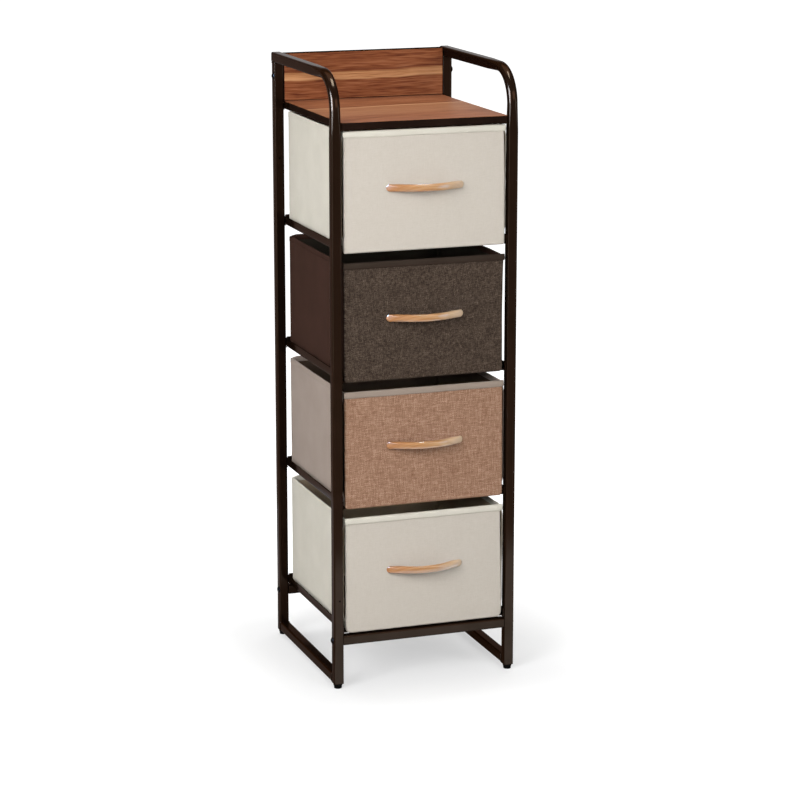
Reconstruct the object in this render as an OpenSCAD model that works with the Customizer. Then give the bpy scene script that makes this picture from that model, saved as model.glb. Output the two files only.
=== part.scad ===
// A slim tower of four open-topped fabric drawers in a frame of bent square tube,
// with a wood-print top board and back panel between the rounded top rails.
// X runs to the right, Y to the rear and Z up, so the drawers pull out along -Y.
// The origin is on the floor, under the middle of the cabinet with its handles.

/* [Cabinet] */
// Overall width across the two side frames
cabinet_w = 310; // [280:1:420]
// Overall depth, from the front posts to the rail end caps at the rear
cabinet_d = 315; // [280:1:420]
// Overall height to the top of the rounded rails
cabinet_h = 995; // [900:1:1200]
// Height of the rounded rails above the top board
guard_h = 79; // [76:1:140]
// Clear height under the bottom cross rails
leg_clear = 72.2; // [50:0.1:120]

/* [Tubes] */
// Outer width of the square tube
tube_w = 16; // [14:0.5:20]
// Wall of the tube
tube_wall = 1.2; // [0.8:0.1:1.6]
// Outer corner radius of the tube
tube_corner = 4; // [3:0.1:5]
// Radius of the front top bend, along the middle of the tube
bend_r = 56; // [40:1:60]
// How far the cross rails sit behind the faces of the posts
rail_inset = 2; // [0:0.5:3]
// Length of the closed end of a cross rail that takes a bolt
rail_nut_l = 10; // [8:1:20]
// Diameter of the small vent holes in the left posts
vent_d = 3; // [2:0.5:5]
// Height of the vent hole in the left front post
vent_low_z = 148; // [100:1:400]
// Height of the vent hole in the left rear post
vent_high_z = 822; // [500:1:850]

/* [Glides and caps] */
// Height of a foot glide below its post
glide_h = 8.2; // [5:0.1:15]
// How far the top edge of a glide sits inside the faces of its post
glide_inset = 0.8; // [0.4:0.1:2]
// How much thinner a glide is at the floor, on its diameter
glide_taper = 1.8; // [0:0.1:4]
// Rounding where a glide meets the floor
glide_edge = 0.8; // [0.4:0.1:2]
// Length of the plugs inside the tube ends
plug_l = 14; // [8:1:25]
// Clearance of a plug inside its tube
plug_gap = 0.2; // [0.1:0.05:0.4]
// Thickness of the flange of a rail end cap
cap_t = 1.5; // [1:0.1:3]

/* [Runners and stops] */
// Thickness of the folded steel of the runners and brackets
sheet_t = 1.5; // [1:0.1:2]
// Width of both legs of a runner
runner_leg = 14; // [10:0.5:18]
// How far the ends of the runners stay inside the faces of the posts
runner_inset = 4; // [1:0.5:8]
// Gap between the bottom cross rails and the lowest runners
runner_gap = 2.8; // [1:0.1:10]
// Height of the stop bars behind the drawers
stop_h = 16; // [10:0.5:24]
// Thickness of the stop bars
stop_t = 3; // [2:0.5:6]
// How far the board brackets reach past the posts
bracket_reach = 25.5; // [20:0.5:50]
// How far the upright leg of a board bracket ends below the top face of the board
bracket_drop = 0.7; // [0.3:0.1:4]

/* [Boards] */
// Thickness of the top board
board_t = 12; // [9:0.5:18]
// How far the front edge of the top board sits behind the posts' faces
board_inset = 3.5; // [1:0.5:4.5]
// Thickness of the back panel
panel_t = 12; // [9:0.5:15]
// How far the top of the back panel stays below the rail tops
panel_drop = 1; // [0.5:0.5:10]
// Height of the back panel's bolts above the top board
panel_bolt_z = 41; // [20:0.5:50]
// Thickness of the dark edge bands
band_t = 1; // [0.5:0.1:2]
// Clearance at the sides of the boards and inside the bindings
side_gap = 0.2; // [0.1:0.1:1]

/* [Drawers] */
// Clearance between a drawer's wall and the upright leg of its runner
drawer_play = 3.5; // [2:0.1:6]
// Running gap under and behind a drawer
seat_gap = 0.3; // [0.2:0.05:0.5]
// Gap from a drawer's rim up to the next runner
rim_gap = 15.2; // [8:0.1:40]
// Gap from the top drawer's rim up to the board brackets
top_gap = 0.7; // [0.5:0.1:10]
// How far the drawers' front faces sit behind the posts' faces
front_inset = 5; // [3:0.5:8]
// Thickness of a cloth-covered drawer front
front_t = 5.5; // [4:0.5:7]
// How far a drawer front hangs below its runner
front_drop = 0.3; // [0:0.1:1.5]
// Radius of the lower corners of a drawer front
front_corner = 8; // [3:0.5:20]
// Thickness of the stiffened fabric walls
wall_t = 2.5; // [1.5:0.1:4]
// Thickness of the base board
base_t = 4; // [2:0.5:6]
// Height of the fabric binding over the rim of a drawer front
binding_h = 10; // [6:0.5:20]
// Thickness of the binding
binding_t = 1; // [0.8:0.1:1]
// How far the binding stands out past the sides of the front
binding_over = 1.3; // [0:0.1:1.6]

/* [Handles] */
// Length of a wooden handle
handle_l = 129; // [110:1:150]
// How far the outside of the handle's arch stands off the drawer front
handle_rise = 23; // [19:0.5:30]
// Thickness of the handle in the middle of its arch
handle_t = 8; // [6:0.5:10]
// Height of the handle's bar
handle_h = 11.6; // [8:0.1:14]
// Length of each flat foot of the handle
handle_foot = 19.5; // [17:0.5:22]
// Drop from the drawer's rim to the middle of the handle
handle_drop = 91; // [30:1:100]
// Distance of each handle screw from the end of the handle
handle_screw_in = 12.5; // [11:0.5:13.5]

/* [Fasteners] */
// Shank diameter of the frame bolts
bolt_d = 5.8; // [4:0.1:6]
// Diameter of the domed bolt heads
bolt_head_d = 12; // [9:0.5:14]
// Height of the domed bolt heads
bolt_head_h = 3; // [2:0.1:4]
// Width across the flats of the bolts' hexagon sockets
socket_w = 4; // [2.5:0.5:5]
// Depth of the hexagon sockets
socket_depth = 1.8; // [1:0.1:2]
// How far a frame bolt reaches past the inner face of its post
bolt_reach = 12; // [9:0.5:24]
// How far a panel bolt reaches past the inner face of its post
panel_bolt_reach = 24; // [14:1:40]
// Shank diameter of the wood screws
screw_d = 4; // [3:0.1:4]
// Head diameter of the wood screws
screw_head_d = 8; // [6:0.5:9]
// Head height of the handle screws
screw_head_h = 2.4; // [1.5:0.1:3]
// Head height of the flat screws under the top board
flat_head_h = 1.2; // [0.8:0.1:1.4]
// How far the screws bite into a handle
handle_bite = 6; // [3:0.5:6]
// How far the screws bite into the top board
board_bite = 9; // [5:0.5:10]
// Clearance around a shank that passes through a hole
hole_gap = 0.3; // [0.1:0.05:0.5]
// Clearance around a shank in the hole that holds it
thread_gap = 0.05; // [0.02:0.01:0.1]

/* [Hidden] */
$fn = 64;
// Number of drawers, counted from the top one down
levels = 4;
// Overlap that keeps cutters clear of coplanar faces
cut = 1;

// Places of the frame's main faces
handle_reach = handle_rise - front_inset;
front_y = (handle_reach - cabinet_d) / 2;
cap_y = front_y + cabinet_d;
rear_y = cap_y - cap_t;
post_rear_front_y = rear_y - tube_w;
post_x = (cabinet_w - tube_w) / 2;
inner_x = cabinet_w / 2 - tube_w;
front_post_y = front_y + tube_w / 2;
rear_post_y = rear_y - tube_w / 2;
front_rail_y = front_post_y + rail_inset;
rear_rail_y = rear_post_y - rail_inset;
cross_rail_z = leg_clear + tube_w / 2;

// Places of the boards
board_top_z = cabinet_h - guard_h;
board_z = board_top_z - board_t;
board_front_y = front_y + board_inset;
board_rear_y = post_rear_front_y + panel_t;
board_half_w = inner_x - sheet_t - side_gap;
bracket_z = board_z - sheet_t;
bracket_leg_h = board_top_z - bracket_drop - bracket_z;
panel_half_w = inner_x - side_gap;
panel_top_z = cabinet_h - panel_drop;
panel_mid_y = post_rear_front_y + panel_t / 2;
panel_bolt_height = board_top_z + panel_bolt_z;
board_screw_x = inner_x - sheet_t - (runner_leg - sheet_t) / 2;
front_screw_y = front_y + tube_w + bracket_reach / 2;
rear_screw_y = post_rear_front_y - bracket_reach / 2;

// Sizes and places of the drawers
first_runner_z = leg_clear + tube_w + runner_gap;
bay_h = bracket_z - first_runner_z;
drawer_h = (bay_h - (levels - 1) * rim_gap - top_gap) / levels - sheet_t - seat_gap;
runner_pitch = sheet_t + seat_gap + drawer_h + rim_gap;
drawer_half_w = inner_x - sheet_t - drawer_play;
drawer_front_y = front_y + front_inset;
drawer_inner_y = drawer_front_y + front_t;
drawer_back_y = post_rear_front_y - seat_gap;

// Arch of the handle: both arcs start on the drawer front
handle_outer_half = handle_l / 2;
handle_inner_half = handle_outer_half - handle_foot;
handle_inner_rise = handle_rise - handle_t;
handle_outer_r = arc_radius(handle_outer_half, handle_rise);
handle_inner_r = arc_radius(handle_inner_half, handle_inner_rise);
handle_screw_x = handle_outer_half - handle_screw_in;

// Colours
steel = [0.17, 0.11, 0.09];
sheet_steel = [0.14, 0.09, 0.08];
black_plastic = [0.06, 0.06, 0.06];
wood_print = [0.61, 0.35, 0.22];
edge_dark = [0.13, 0.08, 0.07];
beech = [0.87, 0.66, 0.42];
bright_zinc = [0.60, 0.60, 0.62];
board_brown = [0.30, 0.25, 0.21];
cream = [0.80, 0.77, 0.72];
dark_brown = [0.27, 0.21, 0.18];
dark_weave = [0.33, 0.29, 0.26];
taupe = [0.66, 0.62, 0.57];
tan_weave = [0.65, 0.50, 0.42];
// Plain cloth of the walls and the woven cloth of the fronts, from the top drawer down
wall_colors = [cream, dark_brown, taupe, cream];
front_colors = [cream, dark_weave, tan_weave, cream];

SIDES = ["left", "right"];
ENDS = ["front", "rear"];
LEVELS = [1 : levels];

// Radius of the arc over a chord of twice half, that rises by rise
function arc_radius(half, rise) = (half * half + rise * rise) / (2 * rise);

// Side of the cabinet: -1 on the left, 1 on the right
function side_sign(s) = s == "left" ? -1 : 1;

// Underside of the runners that carry drawer k, where drawer 1 is the top one
function runner_z(k) = first_runner_z + (levels - k) * runner_pitch;

// Underside of drawer k, just above its runners
function drawer_z(k) = runner_z(k) + sheet_t + seat_gap;

// Top of the binding of drawer k
function rim_z(k) = drawer_z(k) + drawer_h;

// Middle height of the handle of drawer k
function handle_z(k) = rim_z(k) - handle_drop;

// Square outline with round corners, centred on the origin
module round_square(w, r) {
    square([w - 2 * r, w], center = true);
    square([w, w - 2 * r], center = true);
    for (x = [-1, 1], y = [-1, 1])
        translate([x * (w / 2 - r), y * (w / 2 - r)]) circle(r);
}

// Square outline of the tube, drawn in from its outer face by inset
module tube_outline(inset = 0) {
    round_square(tube_w - 2 * inset, tube_corner - inset);
}

// Hollow outline of the tube
module tube_section() {
    difference() {
        tube_outline();
        tube_outline(tube_wall);
    }
}

// Front post, bend and top rail in one run, drawn in by inset and lengthened by extra
module bent_run(inset, extra) {
    bend_y = front_post_y + bend_r;
    bend_z = cabinet_h - tube_w / 2 - bend_r;
    translate([0, front_post_y, glide_h - extra])
        linear_extrude(bend_z - glide_h + extra) tube_outline(inset);
    translate([0, bend_y, bend_z])
        rotate([90, 0, -90])
        rotate_extrude(angle = 90)
        translate([bend_r, 0]) tube_outline(inset);
    translate([0, bend_y, cabinet_h - tube_w / 2])
        rotate([-90, 0, 0])
        linear_extrude(rear_y - bend_y + extra) tube_outline(inset);
}

// Hole for a bolt, across the cabinet through a post
module post_bolt_hole(y, z) {
    translate([-tube_w, y, z])
        rotate([0, 90, 0]) cylinder(h = 2 * tube_w, d = bolt_d + 2 * hole_gap);
}

// Small hole in the front face of a post whose front face is at y
module vent_hole(y, z) {
    translate([0, y + tube_w / 2, z])
        rotate([90, 0, 0]) cylinder(h = tube_w, d = vent_d);
}

module bent_tube(s) {
    color(steel)
    translate([side_sign(s) * post_x, 0, 0])
    difference() {
        bent_run(0, 0);
        bent_run(tube_wall, cut);
        post_bolt_hole(front_rail_y, cross_rail_z);
        if (s == "left") vent_hole(front_y, vent_low_z);
    }
}

module rear_post(s) {
    color(steel)
    translate([side_sign(s) * post_x, 0, 0])
    difference() {
        translate([0, rear_post_y, glide_h])
            linear_extrude(cabinet_h - tube_w - glide_h) tube_section();
        post_bolt_hole(rear_rail_y, cross_rail_z);
        post_bolt_hole(panel_mid_y, panel_bolt_height);
        if (s == "left") vent_hole(post_rear_front_y, vent_high_z);
    }
}

module foot_rail(s) {
    rail_y = front_y + tube_w;
    color(steel)
    translate([side_sign(s) * post_x, rail_y, glide_h + tube_w / 2])
        rotate([-90, 0, 0])
        linear_extrude(post_rear_front_y - rail_y) tube_section();
}

// Rail between the two side frames, closed at its ends around the bolts
module cross_rail(e) {
    y = e == "front" ? front_rail_y : rear_rail_y;
    hollow_l = 2 * (inner_x - rail_nut_l);
    color(steel)
    translate([0, y, cross_rail_z])
    rotate([0, 90, 0])
    difference() {
        linear_extrude(2 * inner_x, center = true) tube_outline();
        linear_extrude(hollow_l, center = true) tube_outline(tube_wall);
        cylinder(h = 2 * inner_x + 2 * cut, d = bolt_d + 2 * thread_gap, center = true);
    }
}

// Angle that carries one side of drawer k: the flat leg starts behind the drawer front
module runner(s, k) {
    start_y = front_y + runner_inset;
    end_y = rear_y - runner_inset;
    flat_y = drawer_inner_y + seat_gap;
    color(sheet_steel)
    mirror([side_sign(s) < 0 ? 1 : 0, 0, 0])
    translate([0, 0, runner_z(k)]) {
        translate([inner_x - sheet_t, start_y, 0])
            cube([sheet_t, end_y - start_y, runner_leg]);
        translate([inner_x - runner_leg, flat_y, 0])
            cube([runner_leg, end_y - flat_y, sheet_t]);
    }
}

// Bar across the back of the frame that stops drawer k
module stop_bar(k) {
    half_w = inner_x - sheet_t;
    color(sheet_steel)
    translate([-half_w, post_rear_front_y, runner_z(k) + sheet_t])
        cube([2 * half_w, stop_t, stop_h]);
}

// Short angle under one corner of the top board, with a hole for its screw
module board_bracket(start_y, end_y, screw_y) {
    difference() {
        translate([0, start_y, 0]) {
            translate([inner_x - sheet_t, 0, 0])
                cube([sheet_t, end_y - start_y, bracket_leg_h]);
            translate([inner_x - runner_leg, 0, 0])
                cube([runner_leg, end_y - start_y, sheet_t]);
        }
        translate([board_screw_x, screw_y, -cut])
            cylinder(h = sheet_t + 2 * cut, d = screw_d + 2 * hole_gap);
    }
}

module board_brackets(s) {
    color(sheet_steel)
    mirror([side_sign(s) < 0 ? 1 : 0, 0, 0])
    translate([0, 0, bracket_z]) {
        board_bracket(front_y + runner_inset, front_y + tube_w + bracket_reach, front_screw_y);
        board_bracket(post_rear_front_y - bracket_reach, rear_y - runner_inset, rear_screw_y);
    }
}

module top_board() {
    half_w = board_half_w - band_t;
    start_y = board_front_y + band_t;
    color(wood_print)
    difference() {
        translate([-half_w, start_y, board_z])
            cube([2 * half_w, board_rear_y - band_t - start_y, board_t]);
        for (x = [-1, 1], y = [front_screw_y, rear_screw_y])
            translate([x * board_screw_x, y, board_z - cut])
                cylinder(h = board_bite + cut, d = screw_d + 2 * thread_gap);
    }
}

// Band around the four edges of the top board
module board_edge_band() {
    depth = board_rear_y - board_front_y;
    color(edge_dark)
    translate([-board_half_w, board_front_y, board_z])
    difference() {
        cube([2 * board_half_w, depth, board_t]);
        translate([band_t, band_t, -cut])
            cube([2 * (board_half_w - band_t), depth - 2 * band_t, board_t + 2 * cut]);
    }
}

module back_panel() {
    half_w = panel_half_w - band_t;
    height = panel_top_z - board_top_z - 2 * band_t;
    reach = panel_bolt_reach + cut;
    color(wood_print)
    difference() {
        translate([-half_w, post_rear_front_y, board_top_z + band_t])
            cube([2 * half_w, panel_t, height]);
        for (x = [-1, 1])
            translate([x * (inner_x - reach / 2), panel_mid_y, panel_bolt_height])
                rotate([0, 90, 0])
                cylinder(h = reach, d = bolt_d + 2 * thread_gap, center = true);
    }
}

// Band around the four edges of the back panel, open for its bolts
module panel_edge_band() {
    height = panel_top_z - board_top_z;
    color(edge_dark)
    difference() {
        translate([-panel_half_w, post_rear_front_y, board_top_z])
            cube([2 * panel_half_w, panel_t, height]);
        translate([band_t - panel_half_w, post_rear_front_y - cut, board_top_z + band_t])
            cube([2 * (panel_half_w - band_t), panel_t + 2 * cut, height - 2 * band_t]);
        translate([0, panel_mid_y, panel_bolt_height])
            rotate([0, 90, 0])
            cylinder(h = cabinet_w, d = bolt_d + 2 * hole_gap, center = true);
    }
}

// Square plug that fills a tube end, from z = 0 up
module tube_plug() {
    linear_extrude(plug_l) tube_outline(tube_wall + plug_gap);
}

// Tapered foot under a post, with its plug inside the tube
module glide(e, s) {
    y = e == "front" ? front_post_y : rear_post_y;
    top_r = tube_w / 2 - glide_inset;
    base_r = top_r - glide_taper / 2;
    color(black_plastic)
    translate([side_sign(s) * post_x, y, 0]) {
        rotate_extrude()
            polygon([
                [0, 0],
                [base_r - glide_edge, 0],
                [base_r, glide_edge],
                [top_r, glide_h],
                [0, glide_h]
            ]);
        translate([0, 0, glide_h]) tube_plug();
    }
}

// Plastic caps that close the rear ends of both top rails
module rail_end_caps() {
    color(black_plastic)
    for (x = [-post_x, post_x])
        translate([x, cap_y, cabinet_h - tube_w / 2])
        rotate([90, 0, 0]) {
            linear_extrude(cap_t) tube_outline();
            translate([0, 0, cap_t]) tube_plug();
        }
}

// Domed bolt with a hexagon socket: its head stands on z = 0 and its shank hangs below
module dome_bolt(shank_l) {
    dome_r = arc_radius(bolt_head_d / 2, bolt_head_h);
    difference() {
        rotate_extrude() {
            intersection() {
                translate([0, bolt_head_h - dome_r]) circle(dome_r);
                square([bolt_head_d / 2, bolt_head_h]);
            }
            translate([0, -shank_l]) square([bolt_d / 2, shank_l]);
        }
        translate([0, 0, bolt_head_h - socket_depth])
            cylinder(h = socket_depth + cut, d = socket_w / cos(30), $fn = 6);
    }
}

// Bolts pushed in from both sides of the cabinet at one place
module bolt_pair(y, z, reach) {
    for (side = [-1, 1])
        translate([side * cabinet_w / 2, y, z])
            rotate([0, side * 90, 0]) dome_bolt(tube_w + reach);
}

module cross_rail_bolts() {
    color(sheet_steel)
    for (y = [front_rail_y, rear_rail_y]) bolt_pair(y, cross_rail_z, bolt_reach);
}

module panel_bolts() {
    color(sheet_steel)
    bolt_pair(panel_mid_y, panel_bolt_height, panel_bolt_reach);
}

// Screw whose head lies under z = 0 and whose shank stands above it
module wood_screw(head_h, shank_l) {
    translate([0, 0, -head_h]) cylinder(h = head_h, d = screw_head_d);
    cylinder(h = shank_l, d = screw_d);
}

module board_screws() {
    color(bright_zinc)
    for (x = [-1, 1], y = [front_screw_y, rear_screw_y])
        translate([x * board_screw_x, y, bracket_z])
            wood_screw(flat_head_h, sheet_t + board_bite - cut);
}

// Cloth-covered front of drawer k, with rounded lower corners and two screw holes
module drawer_front(k) {
    low_z = runner_z(k) - front_drop;
    height = rim_z(k) - binding_t - low_z;
    half_w = drawer_half_w;
    color(front_colors[k - 1])
    difference() {
        translate([0, drawer_inner_y, low_z])
        rotate([90, 0, 0])
        linear_extrude(front_t) {
            translate([-half_w, front_corner]) square([2 * half_w, height - front_corner]);
            translate([front_corner - half_w, 0]) square([2 * (half_w - front_corner), height]);
            for (x = [-1, 1])
                translate([x * (half_w - front_corner), front_corner]) circle(front_corner);
        }
        for (x = [-1, 1])
            translate([x * handle_screw_x, drawer_inner_y + cut, handle_z(k)])
                rotate([90, 0, 0])
                cylinder(h = front_t + 2 * cut, d = screw_d + 2 * hole_gap);
    }
}

// Left, back and right walls of drawer k, one folded run of stiffened fabric
module drawer_fabric_walls(k) {
    height = drawer_h - binding_t;
    depth = drawer_back_y - drawer_inner_y;
    color(wall_colors[k - 1])
    translate([-drawer_half_w, drawer_inner_y, drawer_z(k)])
    difference() {
        cube([2 * drawer_half_w, depth, height]);
        translate([wall_t, -cut, -cut])
            cube([2 * (drawer_half_w - wall_t), depth - wall_t + cut, height + 2 * cut]);
    }
}

module drawer_base_board(k) {
    color(board_brown)
    translate([wall_t - drawer_half_w, drawer_inner_y, drawer_z(k)])
        cube([2 * (drawer_half_w - wall_t), drawer_back_y - wall_t - drawer_inner_y, base_t]);
}

// Fabric strip folded over the rim of the front of drawer k
module drawer_rim_binding(k) {
    half_w = drawer_half_w + binding_over;
    inside_half_w = drawer_half_w - wall_t - side_gap;
    depth = front_t + 2 * binding_t;
    color(wall_colors[k - 1])
    translate([0, drawer_front_y - binding_t, rim_z(k) - binding_h]) {
        translate([-half_w, 0, 0]) cube([2 * half_w, binding_t, binding_h]);
        translate([-half_w, 0, binding_h - binding_t]) cube([2 * half_w, depth, binding_t]);
        translate([-inside_half_w, depth - binding_t, 0])
            cube([2 * inside_half_w, binding_t, binding_h]);
    }
}

// Arched wooden bar of drawer k with two flat feet on the drawer front
module drawer_handle(k) {
    color(beech)
    difference() {
        translate([0, drawer_front_y, handle_z(k) - handle_h / 2])
        linear_extrude(handle_h)
        difference() {
            intersection() {
                translate([0, handle_outer_r - handle_rise]) circle(handle_outer_r, $fn = 180);
                translate([-handle_l, -2 * handle_rise]) square([2 * handle_l, 2 * handle_rise]);
            }
            translate([0, handle_inner_r - handle_inner_rise]) circle(handle_inner_r, $fn = 180);
        }
        for (x = [-1, 1])
            translate([x * handle_screw_x, drawer_front_y + cut, handle_z(k)])
                rotate([90, 0, 0])
                cylinder(h = handle_bite + cut, d = screw_d + 2 * thread_gap);
    }
}

module drawer_handle_screws(k) {
    color(bright_zinc)
    for (x = [-1, 1])
        translate([x * handle_screw_x, drawer_inner_y, handle_z(k)])
            rotate([90, 0, 0]) wood_screw(screw_head_h, front_t + handle_bite - thread_gap);
}

for (s = SIDES) {
    bent_tube(s);
    rear_post(s);
    foot_rail(s);
    board_brackets(s);
    for (k = LEVELS)
        runner(s, k);
}
for (e = ENDS) {
    cross_rail(e);
    for (s = SIDES)
        glide(e, s);
}
top_board();
board_edge_band();
back_panel();
panel_edge_band();
rail_end_caps();
cross_rail_bolts();
panel_bolts();
board_screws();
for (k = LEVELS) {
    stop_bar(k);
    drawer_front(k);
    drawer_fabric_walls(k);
    drawer_base_board(k);
    drawer_rim_binding(k);
    drawer_handle(k);
    drawer_handle_screws(k);
}
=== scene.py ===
"""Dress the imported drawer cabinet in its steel, board, cloth and wood, and set up its picture."""
import logging
import math
from dataclasses import dataclass
from enum import Enum

import bmesh
import bpy
import numpy as np
from mathutils import Matrix, Vector, noise


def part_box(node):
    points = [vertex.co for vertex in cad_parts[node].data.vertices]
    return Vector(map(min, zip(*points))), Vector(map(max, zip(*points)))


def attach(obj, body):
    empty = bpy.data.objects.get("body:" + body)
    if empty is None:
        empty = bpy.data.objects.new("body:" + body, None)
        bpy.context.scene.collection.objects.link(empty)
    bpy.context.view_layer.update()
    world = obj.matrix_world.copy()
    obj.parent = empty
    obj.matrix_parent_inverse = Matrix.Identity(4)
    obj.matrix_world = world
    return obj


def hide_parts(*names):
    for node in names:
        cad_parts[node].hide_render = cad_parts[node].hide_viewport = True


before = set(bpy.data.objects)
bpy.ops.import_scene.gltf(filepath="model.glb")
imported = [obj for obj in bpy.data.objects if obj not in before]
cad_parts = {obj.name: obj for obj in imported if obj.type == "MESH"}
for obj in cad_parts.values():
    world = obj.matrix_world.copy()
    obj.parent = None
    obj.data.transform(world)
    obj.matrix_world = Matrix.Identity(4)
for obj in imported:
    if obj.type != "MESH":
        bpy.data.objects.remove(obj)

MM = 0.001
LOG = logging.getLogger("drawer cabinet")
LEVELS = range(1, 5)
ORIGIN = (0.0, 0.0)
ACROSS = Vector((1, 0, 0))
BACKWARD = Vector((0, 1, 0))
UPWARD = Vector((0, 0, 1))

# Angles in degrees from which an edge is drawn sharp
HARD_SHARP = 35.0
FASTENER_SHARP = 30.0
SOFT_SHARP = 60.0

Spot = tuple[float, float, float]
Color = tuple[float, float, float]
Socket = bpy.types.NodeSocket


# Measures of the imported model


def node_box(node: str) -> tuple[np.ndarray, np.ndarray]:
    """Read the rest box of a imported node.

    Args:
        node: Name of the node.

    Returns:
        Its lowest and highest corner in millimetres.
    """
    low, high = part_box(node)
    return np.array(low) / MM, np.array(high) / MM


def node_middle(node: str) -> np.ndarray:
    """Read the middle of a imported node's rest box, in millimetres."""
    low, high = node_box(node)
    return (low + high) / 2


class Side(Enum):
    """Left or right half of the cabinet, valued by the sign of its X."""

    LEFT = -1
    RIGHT = 1

    @property
    def word(self) -> str:
        """Name of the side as node names spell it."""
        return self.name.lower()


class End(Enum):
    """Front or rear of the cabinet, valued by the sign of its Y."""

    FRONT = -1
    REAR = 1

    @property
    def word(self) -> str:
        """Name of the end as node names spell it."""
        return self.name.lower()


class Facing(Enum):
    """Which way a flat outline faces, valued by its own two axes and the axis across it."""

    X = (1, 2, 0)
    Y = (0, 2, 1)
    Z = (0, 1, 2)


# Mesh making


class Shell:
    """Points and faces in millimetres that become one piece."""

    def __init__(self) -> None:
        """Start with nothing."""
        self.points: list[np.ndarray] = []
        self.faces: list[tuple[int, ...]] = []

    def grid(self, rows: np.ndarray, close_rows: bool = False, close_columns: bool = False) -> None:
        """Add a sheet of quads.

        Args:
            rows: Points as an array of rows, columns and three coordinates.
            close_rows: Join the last row to the first.
            close_columns: Join the last column to the first.
        """
        n, m = rows.shape[:2]
        start = len(self.points)
        self.points.extend(rows.reshape(-1, 3))
        for i in range(n if close_rows else n - 1):
            this, following = start + i * m, start + (i + 1) % n * m
            for j in range(m if close_columns else m - 1):
                k = (j + 1) % m
                self.faces.append((this + j, this + k, following + k, following + j))

    def lid(self, loop: np.ndarray) -> None:
        """Close a loop of points with one face."""
        start = len(self.points)
        self.points.extend(loop)
        self.faces.append(tuple(range(start, start + len(loop))))

    def tube(self, rows: np.ndarray) -> None:
        """Add closed rings with a lid at each end."""
        self.grid(rows, close_columns=True)
        self.lid(rows[0])
        self.lid(rows[-1])

    def mesh(self, name: str, sharp: float = HARD_SHARP) -> bpy.types.Mesh:
        """Make the mesh, with its doubles merged and its normals outward.

        Args:
            name: Name of the mesh.
            sharp: Angle in degrees from which an edge is drawn sharp.

        Returns:
            The mesh, in metres.
        """
        mesh = bpy.data.meshes.new(name)
        mesh.from_pydata((np.array(self.points) * MM).tolist(), [], self.faces)
        tidy_mesh(mesh, sharp)
        return mesh


def tidy_mesh(mesh: bpy.types.Mesh, sharp: float) -> None:
    """Merge doubles, turn the faces outward and shade smooth up to an angle."""
    work = bmesh.new()
    work.from_mesh(mesh)
    bmesh.ops.remove_doubles(work, verts=work.verts, dist=0.002 * MM)
    bmesh.ops.dissolve_degenerate(work, edges=work.edges, dist=0.0005 * MM)
    bmesh.ops.recalc_face_normals(work, faces=work.faces)
    work.to_mesh(mesh)
    work.free()
    mesh.shade_smooth()
    mesh.set_sharp_from_angle(angle=math.radians(sharp))
    mesh.update()


def rounded_rect(width: float, height: float, radius: float, steps: int = 6) -> np.ndarray:
    """Outline a rectangle with round corners.

    Args:
        width: Size along the first axis.
        height: Size along the second axis.
        radius: Radius of the corners.
        steps: Segments in each corner.

    Returns:
        Points counter-clockwise round the origin.
    """
    points = []
    for corner, (sx, sy) in enumerate(((1, 1), (-1, 1), (-1, -1), (1, -1))):
        for step in range(steps + 1):
            angle = math.radians(90 * corner + 90 * step / steps)
            points.append((sx * (width / 2 - radius) + radius * math.cos(angle),
                           sy * (height / 2 - radius) + radius * math.sin(angle)))
    return np.array(points)


def sweep(outline: np.ndarray, spots: list[tuple[Vector, Vector, Vector]]) -> np.ndarray:
    """Carry an outline along a path.

    Args:
        outline: Points in the plane across the path.
        spots: For each stop, its centre and the two directions of the plane.

    Returns:
        Rings of points, one for each stop.
    """
    rows = []
    for centre, across, up in spots:
        rows.append([np.array(centre + across * float(a) + up * float(b)) for a, b in outline])
    return np.array(rows)


def tube_shell(rings: np.ndarray | list[np.ndarray]) -> Shell:
    """Make a shell of closed rings with a lid at each end."""
    shell = Shell()
    shell.tube(np.array(rings))
    return shell


def even_turns(steps: int) -> list[float]:
    """List evenly spaced angles of one full turn."""
    return [2 * math.pi * k / steps for k in range(steps)]


def polar(reaches: list[float]) -> np.ndarray:
    """Outline a closed shape by its reach at even turns round the origin."""
    return np.array([(reach * math.cos(a), reach * math.sin(a))
                     for reach, a in zip(reaches, even_turns(len(reaches)))])


def circle(radius: float, steps: int) -> np.ndarray:
    """Outline a circle round the origin."""
    return polar([radius] * steps)


def lay_out(outline: np.ndarray, facing: Facing, centre: tuple[float, float], depth: float) -> np.ndarray:
    """Lay a flat outline into space.

    Args:
        outline: Points in two dimensions.
        facing: Which way the outline faces.
        centre: Where its origin lies along its own two axes.
        depth: Where it lies along the axis across it.

    Returns:
        The same points in three dimensions.
    """
    first, second, through = facing.value
    ring = np.zeros((len(outline), 3))
    ring[:, first] = centre[0] + outline[:, 0]
    ring[:, second] = centre[1] + outline[:, 1]
    ring[:, through] = depth
    return ring


def eased(edge: float,
          turns: tuple[float, ...] = (0.0, 0.12, 0.3, 0.55, 0.8, 1.0)) -> list[tuple[float, float]]:
    """List a quarter-round: how far in from an end, and how much the outline shrinks there."""
    return [(edge * (1 - math.cos(t * math.pi / 2)), edge * (1 - math.sin(t * math.pi / 2))) for t in turns]


def rolled(distance: float, radius: float) -> float:
    """Say what share of its depth a rolled edge falls back, from 1 at the rim to 0 at the radius."""
    return 1 - math.sqrt(max(0.0, 1 - (1 - min(distance / radius, 1.0)) ** 2))


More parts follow.
